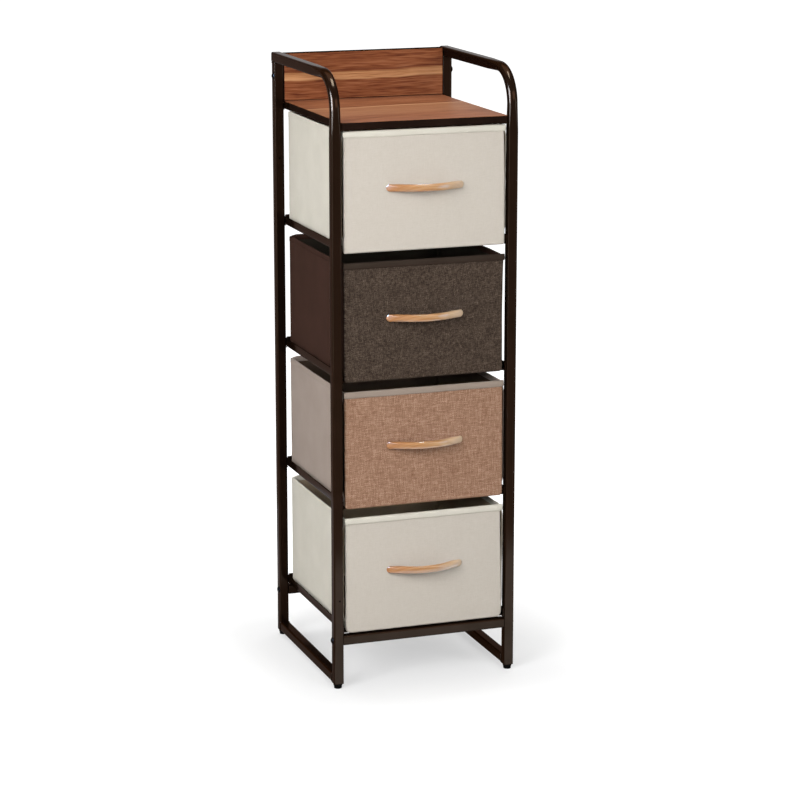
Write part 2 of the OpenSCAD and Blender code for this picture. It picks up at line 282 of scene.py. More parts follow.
def soft_bar(size: Spot, centre: Spot, corner: float, edge: float = 0.5) -> Shell:
    """Make a bar along X whose long edges and end edges are rounded.

    Args:
        size: Length along X, then width along Y and height along Z.
        centre: Middle of the bar.
        corner: Radius of the long edges.
        edge: Radius of the end edges.

    Returns:
        The shell of the bar.
    """
    length, width, height = size
    rings = []
    ends = [(-length / 2 + x, inset) for x, inset in eased(edge)]
    ends += [(-x, inset) for x, inset in reversed(ends)]
    for x, inset in ends:
        outline = rounded_rect(width - 2 * inset, height - 2 * inset, max(corner - inset, 0.05), 4)
        rings.append(lay_out(outline, Facing.X, centre[1:], centre[0] + x))
    return tube_shell(rings)


def angle_outline(leg: float, rise: float, thick: float, bend: float = 1.6) -> np.ndarray:
    """Outline a folded angle whose outside corner is at the origin.

    Args:
        leg: Length of the flat leg.
        rise: Height of the upright leg.
        thick: Thickness of the sheet.
        bend: Inside radius of the fold.

    Returns:
        Points with the first leg along the negative first axis and the second one upward.
    """
    outer = bend + thick
    points = [(-leg, thick), (-leg, 0.0)]
    for step in range(7):
        angle = math.radians(-90 + 90 * step / 6)
        points.append((-outer + outer * math.cos(angle), outer + outer * math.sin(angle)))
    points += [(0.0, rise), (-thick, rise)]
    for step in range(7):
        angle = math.radians(-90 * step / 6)
        points.append((-outer + bend * math.cos(angle), outer + bend * math.sin(angle)))
    return np.array(points)


def smooth_noise(x: float, y: float, seed: int, octaves: int = 3) -> float:
    """Give a repeatable soft noise value between about -1 and 1."""
    total, weight, scale = 0.0, 1.0, 1.0
    for _ in range(octaves):
        total += weight * noise.noise(Vector((x * scale, y * scale, 7.31 * seed)))
        weight *= 0.5
        scale *= 2.1
    return total


def blend_controls(values: tuple[float, ...], t: float) -> float:
    """Ease between evenly spaced values, with t from 0 at the first to 1 at the last."""
    place = min(max(t, 0.0), 1.0) * (len(values) - 1)
    k = min(int(place), len(values) - 2)
    part = place - k
    part = part * part * (3 - 2 * part)
    return values[k] * (1 - part) + values[k + 1] * part


# Node tree helpers


class Tree:
    """Short ways to add and join nodes."""

    def __init__(self, tree: bpy.types.NodeTree) -> None:
        """Keep the tree that the nodes go into."""
        self.tree = tree

    def add(self, kind: str, values: dict[str | int, object] | None = None,
            **settings: object) -> bpy.types.Node:
        """Add a node.

        Args:
            kind: Identifier of the node type.
            values: What its inputs get, by name or number: plain values or outputs to link.
            settings: Properties of the node.

        Returns:
            The node.
        """
        node = self.tree.nodes.new(kind)
        for key, value in settings.items():
            setattr(node, key, value)
        for key, value in (values or {}).items():
            self.join(value, node.inputs[key])
        return node

    def join(self, source: object, target: Socket) -> None:
        """Link an output to an input, or give the input a plain value."""
        if isinstance(source, Socket):
            self.tree.links.new(source, target)
        else:
            target.default_value = source

    def math(self, operation: str, a: object, b: object = 0.0) -> Socket:
        """Add a Math node on two sockets or numbers and return its output."""
        return self.add("ShaderNodeMath", {0: a, 1: b}, operation=operation).outputs[0]

    def ramp(self, factor: Socket, stops: list[tuple[float, Color]]) -> Socket:
        """Add a colour ramp and return its colour output."""
        node = self.add("ShaderNodeValToRGB", {"Fac": factor})
        band = node.color_ramp
        while len(band.elements) < len(stops):
            band.elements.new(0.5)
        for element, (place, color) in zip(band.elements, stops):
            element.position = place
            element.color = (*color, 1.0)
        return node.outputs["Color"]

    def remap(self, value: Socket, before: tuple[float, float], after: tuple[float, float],
              **settings: object) -> Socket:
        """Map one range onto another, held at both ends, and return the result."""
        ends = {"From Min": before[0], "From Max": before[1], "To Min": after[0], "To Max": after[1]}
        return self.add("ShaderNodeMapRange", {"Value": value, **ends}, **settings).outputs["Result"]

    def spread(self, factor: Socket, low: float, high: float) -> Socket:
        """Map 0 to 1 onto low to high."""
        return self.remap(factor, (0.0, 1.0), (low, high))

    def blend_colors(self, factor: Socket, low: object, high: object) -> Socket:
        """Mix two colours, each a socket or a plain colour."""
        node = self.add("ShaderNodeMix", {"Factor": factor}, data_type="RGBA")
        for name, value in (("A", low), ("B", high)):
            socket = next(s for s in node.inputs if s.name == name and s.type == "RGBA")
            self.join((*value, 1.0) if isinstance(value, tuple) else value, socket)
        return next(s for s in node.outputs if s.type == "RGBA")

    def noise_at(self, parts: tuple[object, object, object], detail: float = 2.0) -> Socket:
        """Sample a noise at a point given by three sockets or numbers."""
        point = self.add("ShaderNodeCombineXYZ", dict(enumerate(parts))).outputs[0]
        values = {"Vector": point, "Scale": 1.0, "Detail": detail, "Roughness": 0.55}
        return self.add("ShaderNodeTexNoise", values).outputs["Fac"]

    def seeded_noise(self, given: bpy.types.NodeOutputs, values: dict[str, object]) -> Socket:
        """Sample a noise at a group's own Vector and Seed."""
        values = {"Vector": given["Vector"], "W": given["Seed"], **values}
        return self.add("ShaderNodeTexNoise", values, noise_dimensions="4D").outputs["Fac"]


def open_material(name: str) -> tuple[bpy.types.Material, Tree, bpy.types.Node]:
    """Make a material and return it with its tree and its shader."""
    material = bpy.data.materials.new(name)
    material.use_nodes = True
    shader = next(n for n in material.node_tree.nodes if n.type == "BSDF_PRINCIPLED")
    return material, Tree(material.node_tree), shader


def hex_color(code: str) -> tuple[float, float, float]:
    """Turn a display colour such as C9C3B6 into linear values."""
    parts = [int(code[i:i + 2], 16) / 255 for i in (0, 2, 4)]
    return tuple(p / 12.92 if p <= 0.04045 else ((p + 0.055) / 1.055) ** 2.4 for p in parts)


class PatternGroup(Enum):
    """Shared shader effects, each built once as a node group."""

    MOTTLE = "Slow mottle"
    WEAVE = "Plain weave"
    FELT = "Bonded cloth"
    GRAIN = "Wood grain"


class PatternShelf:
    """Builds each shared shader group the first time it is asked for."""

    def __init__(self) -> None:
        """Start with no groups."""
        self.made: dict[PatternGroup, bpy.types.NodeTree] = {}

    def get(self, kind: PatternGroup) -> bpy.types.NodeTree:
        """Return a group, building it if needed."""
        if kind not in self.made:
            makers = {PatternGroup.MOTTLE: self.mottle, PatternGroup.WEAVE: self.weave,
                      PatternGroup.FELT: self.felt, PatternGroup.GRAIN: self.grain}
            self.made[kind] = makers[kind]()
        return self.made[kind]

    def start(self, kind: PatternGroup, inputs: dict[str, float],
              outputs: tuple[str, ...]) -> tuple[Tree, bpy.types.NodeOutputs, bpy.types.NodeInputs]:
        """Begin a group with a Vector input, number inputs and number outputs.

        Args:
            kind: The group's kind, whose value is its name.
            inputs: Names and default values of its number inputs.
            outputs: Names of its number outputs.

        Returns:
            The tree, its inside input sockets and its inside output sockets.
        """
        group = bpy.data.node_groups.new(kind.value, "ShaderNodeTree")
        group.interface.new_socket("Vector", in_out="INPUT", socket_type="NodeSocketVector")
        for name, value in inputs.items():
            socket = group.interface.new_socket(name, in_out="INPUT", socket_type="NodeSocketFloat")
            socket.default_value = value
        for name in outputs:
            group.interface.new_socket(name, in_out="OUTPUT", socket_type="NodeSocketFloat")
        tree = Tree(group)
        entry = tree.add("NodeGroupInput")
        leave = tree.add("NodeGroupOutput")
        return tree, entry.outputs, leave.inputs

    def mottle(self) -> bpy.types.NodeTree:
        """Slow cloudy variation for wear, dust and uneven gloss."""
        tree, given, out = self.start(PatternGroup.MOTTLE, {"Size": 0.04, "Seed": 0.0}, ("Cloud", "Speck"))
        slow = tree.math("DIVIDE", 1.0, given["Size"])
        quick = tree.math("MULTIPLY", slow, 32.0)
        tree.join(tree.seeded_noise(given, {"Scale": slow, "Detail": 5.0, "Roughness": 0.6}), out["Cloud"])
        tree.join(tree.seeded_noise(given, {"Scale": quick, "Detail": 2.0}), out["Speck"])
        return tree.tree

    def weave(self) -> bpy.types.NodeTree:
        """Plain weave: threads across and up the piece, each with slubs along its own length."""
        tree, given, out = self.start(
            PatternGroup.WEAVE,
            {"Pitch": 0.0012, "Slub Length": 0.012, "Seed": 0.0},
            ("Height", "Tone", "Cloud"))
        split = tree.add("ShaderNodeSeparateXYZ", {0: given["Vector"]}).outputs
        across = tree.math("ADD", split["X"], split["Y"])
        upright = split["Z"]
        sway = tree.noise_at(
            (tree.math("MULTIPLY", across, 40.0), tree.math("MULTIPLY", upright, 40.0), given["Seed"]))
        shift = tree.math("MULTIPLY", tree.math("SUBTRACT", sway, 0.5), 0.0016)
        column = tree.math("DIVIDE", tree.math("ADD", across, shift), given["Pitch"])
        row = tree.math("DIVIDE", tree.math("ADD", upright, shift), given["Pitch"])
        crossing = tree.math("MULTIPLY", tree.math("SINE", tree.math("MULTIPLY", column, math.pi)),
                             tree.math("SINE", tree.math("MULTIPLY", row, math.pi)))
        along = tree.math("DIVIDE", 1.0, given["Slub Length"])
        own_row = tree.math("MULTIPLY", tree.math("FLOOR", row), 3.7)
        own_column = tree.math("MULTIPLY", tree.math("FLOOR", column), 3.7)
        lying = tree.noise_at((tree.math("MULTIPLY", across, along), own_row, given["Seed"]))
        standing_seed = tree.math("ADD", given["Seed"], 11.7)
        standing = tree.noise_at((own_column, tree.math("MULTIPLY", upright, along), standing_seed))
        on_top = tree.math("GREATER_THAN", crossing, 0.05)
        tone = tree.add("ShaderNodeMix", {"Factor": on_top, "A": lying, "B": standing}, data_type="FLOAT")
        cloud_place = (tree.math("MULTIPLY", across, 45.0), tree.math("MULTIPLY", upright, 60.0),
                       tree.math("ADD", given["Seed"], 23.1))
        tree.join(tree.math("ABSOLUTE", crossing), out["Height"])
        tree.join(tone.outputs["Result"], out["Tone"])
        tree.join(tree.noise_at(cloud_place, 3.0), out["Cloud"])
        return tree.tree

    def felt(self) -> bpy.types.NodeTree:
        """Bonded cloth with a close grid of pressed dots and loose fibres."""
        tree, given, out = self.start(
            PatternGroup.FELT, {"Dot Pitch": 0.0016, "Seed": 0.0}, ("Height", "Fibre", "Cloud"))
        split = tree.add("ShaderNodeSeparateXYZ", {0: given["Vector"]}).outputs
        across = tree.math("ADD", split["X"], split["Y"])
        turn = tree.math("DIVIDE", 2 * math.pi, given["Dot Pitch"])
        dots = tree.math("MULTIPLY", tree.math("SINE", tree.math("MULTIPLY", across, turn)),
                         tree.math("SINE", tree.math("MULTIPLY", split["Z"], turn)))
        pressed = tree.math("SUBTRACT", 1.0, tree.math("MAXIMUM", dots, 0.0))
        fibre = tree.seeded_noise(given, {"Scale": 900.0, "Detail": 3.0})
        height = tree.math("ADD", tree.math("MULTIPLY", pressed, 0.6), tree.math("MULTIPLY", fibre, 0.4))
        tree.join(height, out["Height"])
        tree.join(fibre, out["Fibre"])
        tree.join(tree.seeded_noise(given, {"Scale": 22.0, "Detail": 4.0}), out["Cloud"])
        return tree.tree

    def grain(self) -> bpy.types.NodeTree:
        """Long wood grain along X, across the Y and Z of a board."""
        tree, given, out = self.start(
            PatternGroup.GRAIN,
            {"Grain Length": 0.11, "Grain Width": 0.006, "Waver": 0.004, "Tilt": 0.0, "Seed": 0.0},
            ("Tone", "Line", "Across"))
        split = tree.add("ShaderNodeSeparateXYZ", {0: given["Vector"]}).outputs
        level = tree.math("ADD", split["Y"], split["Z"])
        cross = tree.math("SUBTRACT", level, tree.math("MULTIPLY", split["X"], given["Tilt"]))
        slow = tree.noise_at(
            (tree.math("MULTIPLY", split["X"], 7.0), tree.math("MULTIPLY", cross, 14.0), given["Seed"]))
        shift = tree.math("MULTIPLY", tree.math("SUBTRACT", slow, 0.5), given["Waver"])
        bent = tree.math("ADD", cross, shift)
        along = tree.math("DIVIDE", split["X"], given["Grain Length"])
        tone = tree.noise_at((along, tree.math("DIVIDE", bent, given["Grain Width"]), given["Seed"]), 5.0)
        fine = tree.math("DIVIDE", bent, tree.math("MULTIPLY", given["Grain Width"], 0.33))
        line = tree.noise_at((tree.math("MULTIPLY", along, 2.2), fine, given["Seed"]), 3.0)
        tree.join(tone, out["Tone"])
        tree.join(line, out["Line"])
        tree.join(bent, out["Across"])
        return tree.tree


SHELF = PatternShelf()


@dataclass(frozen=True)
class Finish:
    """A surface finish with a name and the way it is made."""

    name: str
    slot: str

    def begin(self) -> tuple[Tree, bpy.types.Node, Socket]:
        """Start a material.

        Returns:
            Its tree, its shader and the object coordinates.
        """
        _, tree, shader = open_material(self.name)
        return tree, shader, tree.add("ShaderNodeTexCoord").outputs["Object"]

    def pattern(self, tree: Tree, kind: PatternGroup, vector: Socket,
                **values: float) -> bpy.types.NodeOutputs:
        """Place a shared group with its own values and return its outputs."""
        named = {name.replace("_", " ").title(): value for name, value in values.items()}
        return tree.add("ShaderNodeGroup", {"Vector": vector, **named}, node_tree=SHELF.get(kind)).outputs

    def bump(self, tree: Tree, shader: bpy.types.Node, height: Socket,
             strength: float, depth_mm: float) -> None:
        """Raise the surface by a height pattern."""
        values = {"Height": height, "Strength": strength, "Distance": depth_mm * MM}
        tree.join(tree.add("ShaderNodeBump", values).outputs["Normal"], shader.inputs["Normal"])

    def material(self) -> bpy.types.Material:
        """Return the material, made once."""
        found = bpy.data.materials.get(self.name)
        return found or self.make()

    def make(self) -> bpy.types.Material:
        """Build the material; each kind of finish has its own way."""
        raise NotImplementedError


@dataclass(frozen=True)
class Coating(Finish):
    """Sprayed or moulded skin with a fine orange-peel surface."""

    color: str
    light: str
    roughness: tuple[float, float] = (0.3, 0.42)
    metallic: float = 0.0
    specular: float = 0.5
    tint: Color = (1.0, 1.0, 1.0)
    peel: float = 0.25

    def make(self) -> bpy.types.Material:
        """Build the coating."""
        tree, shader, coords = self.begin()
        cloud = self.pattern(tree, PatternGroup.MOTTLE, coords, size=0.05, seed=float(len(self.name)))
        tone = tree.ramp(cloud["Cloud"], [(0.3, hex_color(self.color)), (0.75, hex_color(self.light))])
        tree.join(tone, shader.inputs["Base Color"])
        tree.join(tree.spread(cloud["Cloud"], *self.roughness), shader.inputs["Roughness"])
        shader.inputs["Metallic"].default_value = self.metallic
        shader.inputs["Specular IOR Level"].default_value = self.specular
        shader.inputs["Specular Tint"].default_value = (*self.tint, 1.0)
        self.bump(tree, shader, cloud["Speck"], self.peel, 0.12)
        return bpy.data.materials[self.name]


@dataclass(frozen=True)
class PlankPrint(Finish):
    """Printed planks along X: reddish-brown boards, and one paler board with a bright and a dark line."""

    stripe: tuple[float, float, float, float]
    bright_line: tuple[float, float]
    dark_line: tuple[float, float]
    tilt: float
    seed: float
    width: float
    contrast: float
    body: tuple[str, str, str, str]
    plank: tuple[str, str, str]
    bright: str

    def line(self, tree: Tree, across: Socket, spot: tuple[float, float]) -> Socket:
        """Mask a soft line; spot gives where it lies across the board and its half width, in millimetres."""
        away = tree.math("ABSOLUTE", tree.math("SUBTRACT", across, spot[0] * MM))
        return tree.remap(away, (0.0, spot[1] * MM), (1.0, 0.0), interpolation_type="SMOOTHSTEP")

    def make(self) -> bpy.types.Material:
        """Build the print; stripe says where across the board the pale plank fades in and out."""
        tree, shader, coords = self.begin()
        grain = self.pattern(tree, PatternGroup.GRAIN, coords, grain_length=0.1, grain_width=self.width,
                             waver=0.014, tilt=self.tilt, seed=self.seed)
        broad = self.pattern(tree, PatternGroup.GRAIN, coords, grain_length=0.3, grain_width=0.03,
                             waver=0.02, tilt=self.tilt, seed=self.seed + 3)
        fine = tree.math("ADD", tree.math("MULTIPLY", grain["Tone"], 0.3),
                         tree.math("MULTIPLY", grain["Line"], 0.48))
        both = tree.math("ADD", fine, tree.math("MULTIPLY", broad["Tone"], 0.22))
        reach = 1 / self.contrast
        places = [0.5 + offset * reach for offset in (-0.12, -0.02, 0.07, 0.2)]
        body = tree.ramp(both, [(at, hex_color(code)) for at, code in zip(places, self.body)])
        pale = tree.ramp(both, [(at, hex_color(code)) for at, code in zip((0.38, 0.5, 0.62), self.plank)])
        start, full, hold, end = (place * MM for place in self.stripe)
        rise = tree.remap(broad["Across"], (start, full), (0.0, 1.0))
        fall = tree.remap(broad["Across"], (hold, end), (1.0, 0.0))
        planks = tree.blend_colors(tree.math("MULTIPLY", rise, fall), body, pale)
        uneven = tree.spread(broad["Tone"], 0.1, 1.3)
        glint = tree.math("MULTIPLY", self.line(tree, broad["Across"], self.bright_line), uneven)
        lined = tree.blend_colors(glint, planks, hex_color(self.bright))
        pores = tree.ramp(grain["Line"], [(0.3, (1.0, 1.0, 1.0)), (0.44, (0.0, 0.0, 0.0))])
        shade = tree.math("MULTIPLY", self.line(tree, broad["Across"], self.dark_line), 0.7)
        marks = tree.math("MAXIMUM", tree.math("MULTIPLY", pores, 0.5), shade)
        tree.join(tree.blend_colors(marks, lined, hex_color(self.body[0])), shader.inputs["Base Color"])
        tree.join(tree.spread(grain["Tone"], 0.4, 0.52), shader.inputs["Roughness"])
        shader.inputs["Specular IOR Level"].default_value = 0.02
        self.bump(tree, shader, grain["Line"], 0.12, 0.08)
        return bpy.data.materials[self.name]


@dataclass(frozen=True)
class BondedCloth(Finish):
    """Plain non-woven cloth of the drawer walls and bindings."""

    low: str
    high: str
    seed: float = 0.0

    def make(self) -> bpy.types.Material:
        """Build the cloth."""
        tree, shader, coords = self.begin()
        felt = self.pattern(tree, PatternGroup.FELT, coords, dot_pitch=0.0016, seed=self.seed)
        mix = tree.math("ADD", tree.math("MULTIPLY", felt["Cloud"], 0.55),
                        tree.math("MULTIPLY", felt["Fibre"], 0.45))
        tone = tree.ramp(mix, [(0.3, hex_color(self.low)), (0.7, hex_color(self.high))])
        tree.join(tone, shader.inputs["Base Color"])
        shader.inputs["Roughness"].default_value = 0.92
        shader.inputs["Specular IOR Level"].default_value = 0.0
        shader.inputs["Sheen Weight"].default_value = 0.01
        shader.inputs["Sheen Roughness"].default_value = 0.5
        self.bump(tree, shader, felt["Height"], 0.35, 0.12)
        return bpy.data.materials[self.name]


@dataclass(frozen=True)
class WovenCloth(Finish):
    """Woven cloth of the drawer fronts, with slubs of lighter and darker thread."""

    dark: str
    body: str
    light: str
    spread: float = 0.2
    seed: float = 0.0
    pitch: float = 0.0012
    slub_length: float = 0.012

    def make(self) -> bpy.types.Material:
        """Build the weave."""
        tree, shader, coords = self.begin()
        weave = self.pattern(tree, PatternGroup.WEAVE, coords, pitch=self.pitch, slub_length=self.slub_length,
                             seed=self.seed)
        # Painted light on the weave: the raised tops of the threads are drawn lighter and the hollows between
        # them darker, on top of the threads' own tone and slow cloud.
        crown_highlight = tree.math("MULTIPLY", tree.math("SUBTRACT", weave["Height"], 0.5), 0.08)
        drift = tree.math("MULTIPLY", tree.math("SUBTRACT", weave["Cloud"], 0.5), 0.12)
        tone_with_crown_highlight = tree.math("ADD", weave["Tone"], tree.math("ADD", crown_highlight, drift))
        tone = tree.ramp(tone_with_crown_highlight, [(0.5 - self.spread, hex_color(self.dark)), (0.5, hex_color(self.body)),
                               (0.5 + self.spread, hex_color(self.light))])
        tree.join(tone, shader.inputs["Base Color"])
        shader.inputs["Roughness"].default_value = 0.9
        shader.inputs["Specular IOR Level"].default_value = 0.0
        shader.inputs["Sheen Weight"].default_value = 0.01
        shader.inputs["Sheen Roughness"].default_value = 0.45
        self.bump(tree, shader, weave["Height"], 0.45, 0.2)
        return bpy.data.materials[self.name]


@dataclass(frozen=True)
class Lacquered(Finish):
    """Pale wood under clear lacquer, with its grain along X."""

    dark: str
    body: str
    light: str
    # Painted light: the next colour is a painted shade toward the handle's left end, the one after it a
    # painted highlight toward its right end.
    warm: str
    pale: str

    def make(self) -> bpy.types.Material:
        """Build the wood, with a painted shade toward the left end and a painted highlight at the right one.
        """
        tree, shader, coords = self.begin()
        grain = self.pattern(tree, PatternGroup.GRAIN, coords, grain_length=0.09, grain_width=0.0032,
                             waver=0.0015, seed=5.0)
        tone = tree.ramp(grain["Tone"], [(0.3, hex_color(self.dark)), (0.5, hex_color(self.body)),
                                         (0.72, hex_color(self.light))])
        along = tree.add("ShaderNodeSeparateXYZ", {0: coords}).outputs["X"]
        # Painted shade: toward the left end the wood is drawn darker and more orange.
        drift = tree.remap(along, (-0.06, 0.01), (0.85, 0.0))
        left_shaded_tone = tree.blend_colors(drift, tone, hex_color(self.warm))
        # Painted highlight: toward the right end the wood is drawn paler.
        right_highlight_share = tree.remap(along, (0.015, 0.06), (0.0, 0.75))
        right_highlit_tone = tree.blend_colors(right_highlight_share, left_shaded_tone, hex_color(self.pale))
        ticks = tree.ramp(grain["Line"], [(0.26, (1.0, 1.0, 1.0)), (0.38, (0.0, 0.0, 0.0))])
        ticked = tree.blend_colors(tree.math("MULTIPLY", ticks, 0.2), right_highlit_tone, hex_color(self.dark))
        tree.join(ticked, shader.inputs["Base Color"])
        tree.join(tree.spread(grain["Tone"], 0.28, 0.4), shader.inputs["Roughness"])
        shader.inputs["Specular IOR Level"].default_value = 0.05
        shader.inputs["Coat Weight"].default_value = 0.4
        shader.inputs["Coat Roughness"].default_value = 0.12
        self.bump(tree, shader, grain["Line"], 0.08, 0.05)
        return bpy.data.materials[self.name]


STEEL = Coating("Dark brown coated steel", "brown_coated_steel", "1E130C", "251811", (0.11, 0.16),
                metallic=0.55, specular=0.0, tint=(0.52, 0.48, 0.467), peel=0.06)
BOLT_STEEL = Coating("Black bolt steel", "dark_steel", "0F0C0B", "1B1615", (0.25, 0.35),
                     metallic=0.55, specular=0.0, tint=(0.52, 0.48, 0.467))
ZINC = Coating("Bright zinc steel", "zinc_steel", "9A9A9E", "B4B4B8", (0.25, 0.4), metallic=1.0, peel=0.1)
PLASTIC = Coating("Black moulded plastic", "black_plastic", "0C0C0C", "161616", (0.38, 0.5),
                  specular=0.0, peel=0.15)
EDGING = Coating("Dark board edging", "dark_edging", "1A110D", "241813", (0.4, 0.55), specular=0.0, peel=0.1)
FIBREBOARD = Coating("Cloth-faced fibreboard", "base_fibreboard", "3C312A", "4B3F36", (0.85, 0.95),
                     specular=0.2)
SHELF_PRINT = PlankPrint(
    "Planks of the top board", "wood_print_board", stripe=(838.0, 868.0, 948.0, 956.0),
    bright_line=(950.0, 6.0), dark_line=(961.0, 5.0), tilt=0.06, seed=2.0, width=0.006, contrast=1.4,
    body=("643820", "814E32", "8B583B", "966649"), plank=("81523A", "8F5F40", "9D6F50"), bright="BE8E68")
PANEL_PRINT = PlankPrint(
    "Planks of the back panel", "wood_print_board", stripe=(1097.0, 1099.0, 1110.0, 1112.0),
    bright_line=(1100.5, 2.6), dark_line=(1114.0, 1.8), tilt=0.0, seed=8.0, width=0.004, contrast=1.4,
    body=("562B1A", "7F472A", "8E5637", "9E6645"), plank=("9C6640", "B27E55", "C69366"), bright="C8966A")
CREAM = BondedCloth("Cream bonded cloth", "cream_cloth", "CBC6B9", "D9D4C8", 1.0)
BROWN = BondedCloth("Dark brown bonded cloth", "dark_brown_cloth", "3A2922", "442F28", 2.0)
TAUPE = BondedCloth("Taupe bonded cloth", "taupe_cloth", "9C8E85", "A89A90", 3.0)
BROWN_TRIM = BondedCloth("Dark brown binding cloth", "dark_brown_cloth", "342A24", "3C332C", 4.0)
TAUPE_TRIM = BondedCloth("Taupe binding cloth", "taupe_cloth", "928478", "9C8E82", 5.0)
CREAM_WEAVE = WovenCloth("Cream woven front", "cream_cloth", "C3BBAF", "CAC2B7", "D0C9BF",
                         spread=0.3, seed=1.0, pitch=0.0008, slub_length=0.01)
DARK_WEAVE = WovenCloth("Dark mottled front", "dark_weave", "2B231E", "463B33", "6D5E52",
                        spread=0.24, seed=4.0, pitch=0.0013, slub_length=0.0065)
TAN_WEAVE = WovenCloth("Tan mottled front", "tan_weave", "7C5844", "9A7862", "C09C85",
                       spread=0.25, seed=9.0, pitch=0.0014, slub_length=0.013)
LINING = BondedCloth("Dark lining cloth", "dark_brown_cloth", "38332C", "443E36", 6.0)
# Painted shade: these two linings are darker copies of their drawers' wall cloth, standing in for the shade
# inside the drawers.
TAUPE_SHADED_LINING = BondedCloth("Brown lining cloth", "taupe_cloth", "54463B", "625347", 6.5)
CREAM_SHADED_LINING = BondedCloth("Cream lining cloth", "cream_cloth", "AE9A82", "BCA98F", 7.0)
# The handles' wood carries painted light: a painted shade at their left ends and a painted highlight at their
# right ends.
BEECH = Lacquered("Lacquered beech", "beech", "A2703F", "B78858", "C9A277", "A46E40", "E2CBAE")


# Turning shells into pieces of the cabinet


def place(mesh: bpy.types.Mesh, finish: Finish, body: str, nodes: tuple[str, ...] = ()) -> bpy.types.Object:
    """Put a mesh into the scene as a finished piece.

    Args:
        mesh: The piece's mesh, in place.
        finish: Its finish.
        body: Body that it moves with.
        nodes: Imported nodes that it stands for.

    Returns:
        The piece's object.
    """
    mesh.materials.clear()
    mesh.materials.append(finish.material())
    piece = bpy.data.objects.new(mesh.name, mesh)
    bpy.context.scene.collection.objects.link(piece)
    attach(piece, body)
    if nodes:
        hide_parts(*nodes)
    LOG.info("%s: %d faces, rides on %s, stands for %s",
             piece.name, len(mesh.polygons), body, nodes or "no node")
    return piece


def dress(shell: Shell, finish: Finish, body: str, node: str, sharp: float = HARD_SHARP) -> bpy.types.Object:
    """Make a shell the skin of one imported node."""
    return place(shell.mesh(f"{node}_skin", sharp), finish, body, (node,))


def even_shading(piece: bpy.types.Object) -> None:
    """Keep broad flat faces flat beside their rounded edges."""
    weigh = piece.modifiers.new("Even shading", "WEIGHTED_NORMAL")
    weigh.keep_sharp = True
    weigh.weight = 80


class RepeatTree:
    """A Geometry Nodes tree with named inputs, set on an object and turned into a mesh."""

    def __init__(self, name: str, sizes: dict[str, float]) -> None:
        """Open a tree.

        Args:
            name: Name of the tree.
            sizes: Names and default values of its number inputs.
        """
        group = bpy.data.node_groups.new(name, "GeometryNodeTree")
        self.keys: dict[str, str] = {}
        group.interface.new_socket("Geometry", in_out="INPUT", socket_type="NodeSocketGeometry")
        for label, value in sizes.items():
            socket = group.interface.new_socket(label, in_out="INPUT", socket_type="NodeSocketFloat")
            socket.default_value = value
            self.keys[label] = socket.identifier
        for label, kind in (("Copy", "NodeSocketObject"), ("Material", "NodeSocketMaterial")):
            self.keys[label] = group.interface.new_socket(label, in_out="INPUT", socket_type=kind).identifier
        group.interface.new_socket("Geometry", in_out="OUTPUT", socket_type="NodeSocketGeometry")
        self.group = group
        self.tree = Tree(group)
        self.given = self.tree.add("NodeGroupInput").outputs
        self.leave = self.tree.add("NodeGroupOutput").inputs

    def close(self, result: Socket) -> None:
        """End the tree with real geometry in its material."""
        real = self.tree.add("GeometryNodeRealizeInstances", {0: result}).outputs[0]
        values = {"Geometry": real, "Material": self.given["Material"]}
        skin = self.tree.add("GeometryNodeSetMaterial", values)
        self.tree.join(skin.outputs[0], self.leave[0])

    def run(self, name: str, base: bpy.types.ID, material: bpy.types.Material, sharp: float,
            copy: bpy.types.Object | None = None, **sizes: float) -> bpy.types.Mesh:
        """Run the tree once.

        Args:
            name: Name of the mesh that comes out.
            base: Mesh or curve data that the tree starts from.
            material: Material of the result.
            sharp: Angle from which edges are drawn sharp.
            copy: Object that the tree repeats, if it repeats one.
            sizes: Values for the named inputs, with underscores for spaces.

        Returns:
            A plain mesh.
        """
        holder = bpy.data.objects.new(name + " base", base)
        bpy.context.scene.collection.objects.link(holder)
        modifier = holder.modifiers.new("Repeat", "NODES")
        modifier.node_group = self.group
        modifier[self.keys["Material"]] = material
        if copy is not None:
            modifier[self.keys["Copy"]] = copy
        for label, value in sizes.items():
            modifier[self.keys[label.replace("_", " ").title()]] = value
        graph = bpy.context.evaluated_depsgraph_get()
        mesh = bpy.data.meshes.new_from_object(holder.evaluated_get(graph), depsgraph=graph)
        mesh.name = name
        holder.modifiers.remove(modifier)
        bpy.data.objects.remove(holder)
        tidy_mesh(mesh, sharp)
        return mesh


def copies_tree() -> RepeatTree:
    """Make the tree that puts one fastener at each given point, turned to its normal."""
    made = RepeatTree("Fasteners at points", {"Turn Jitter": 0.4})
    tree, jitter = made.tree, made.given["Turn Jitter"]
    info = tree.add("GeometryNodeObjectInfo", {"Object": made.given["Copy"]}, transform_space="ORIGINAL")
    back = tree.math("MULTIPLY", jitter, -1.0)
    spin = tree.add("FunctionNodeRandomValue", {2: back, 3: jitter, "Seed": 3}, data_type="FLOAT")
    point = tree.add("ShaderNodeCombineXYZ", {"Z": spin.outputs[1]})
    turn = tree.add("FunctionNodeEulerToRotation", {0: point.outputs[0]})
    outward = tree.add("GeometryNodeInputNamedAttribute", {"Name": "outward"}, data_type="FLOAT_VECTOR")
    aim = tree.add("FunctionNodeAlignRotationToVector",
                   {"Rotation": turn.outputs[0], "Vector": outward.outputs["Attribute"]}, axis="Z")
    repeat = tree.add("GeometryNodeInstanceOnPoints",
                      {"Points": made.given["Geometry"], "Instance": info.outputs["Geometry"],
                       "Rotation": aim.outputs[0]})
    made.close(repeat.outputs[0])
    return made


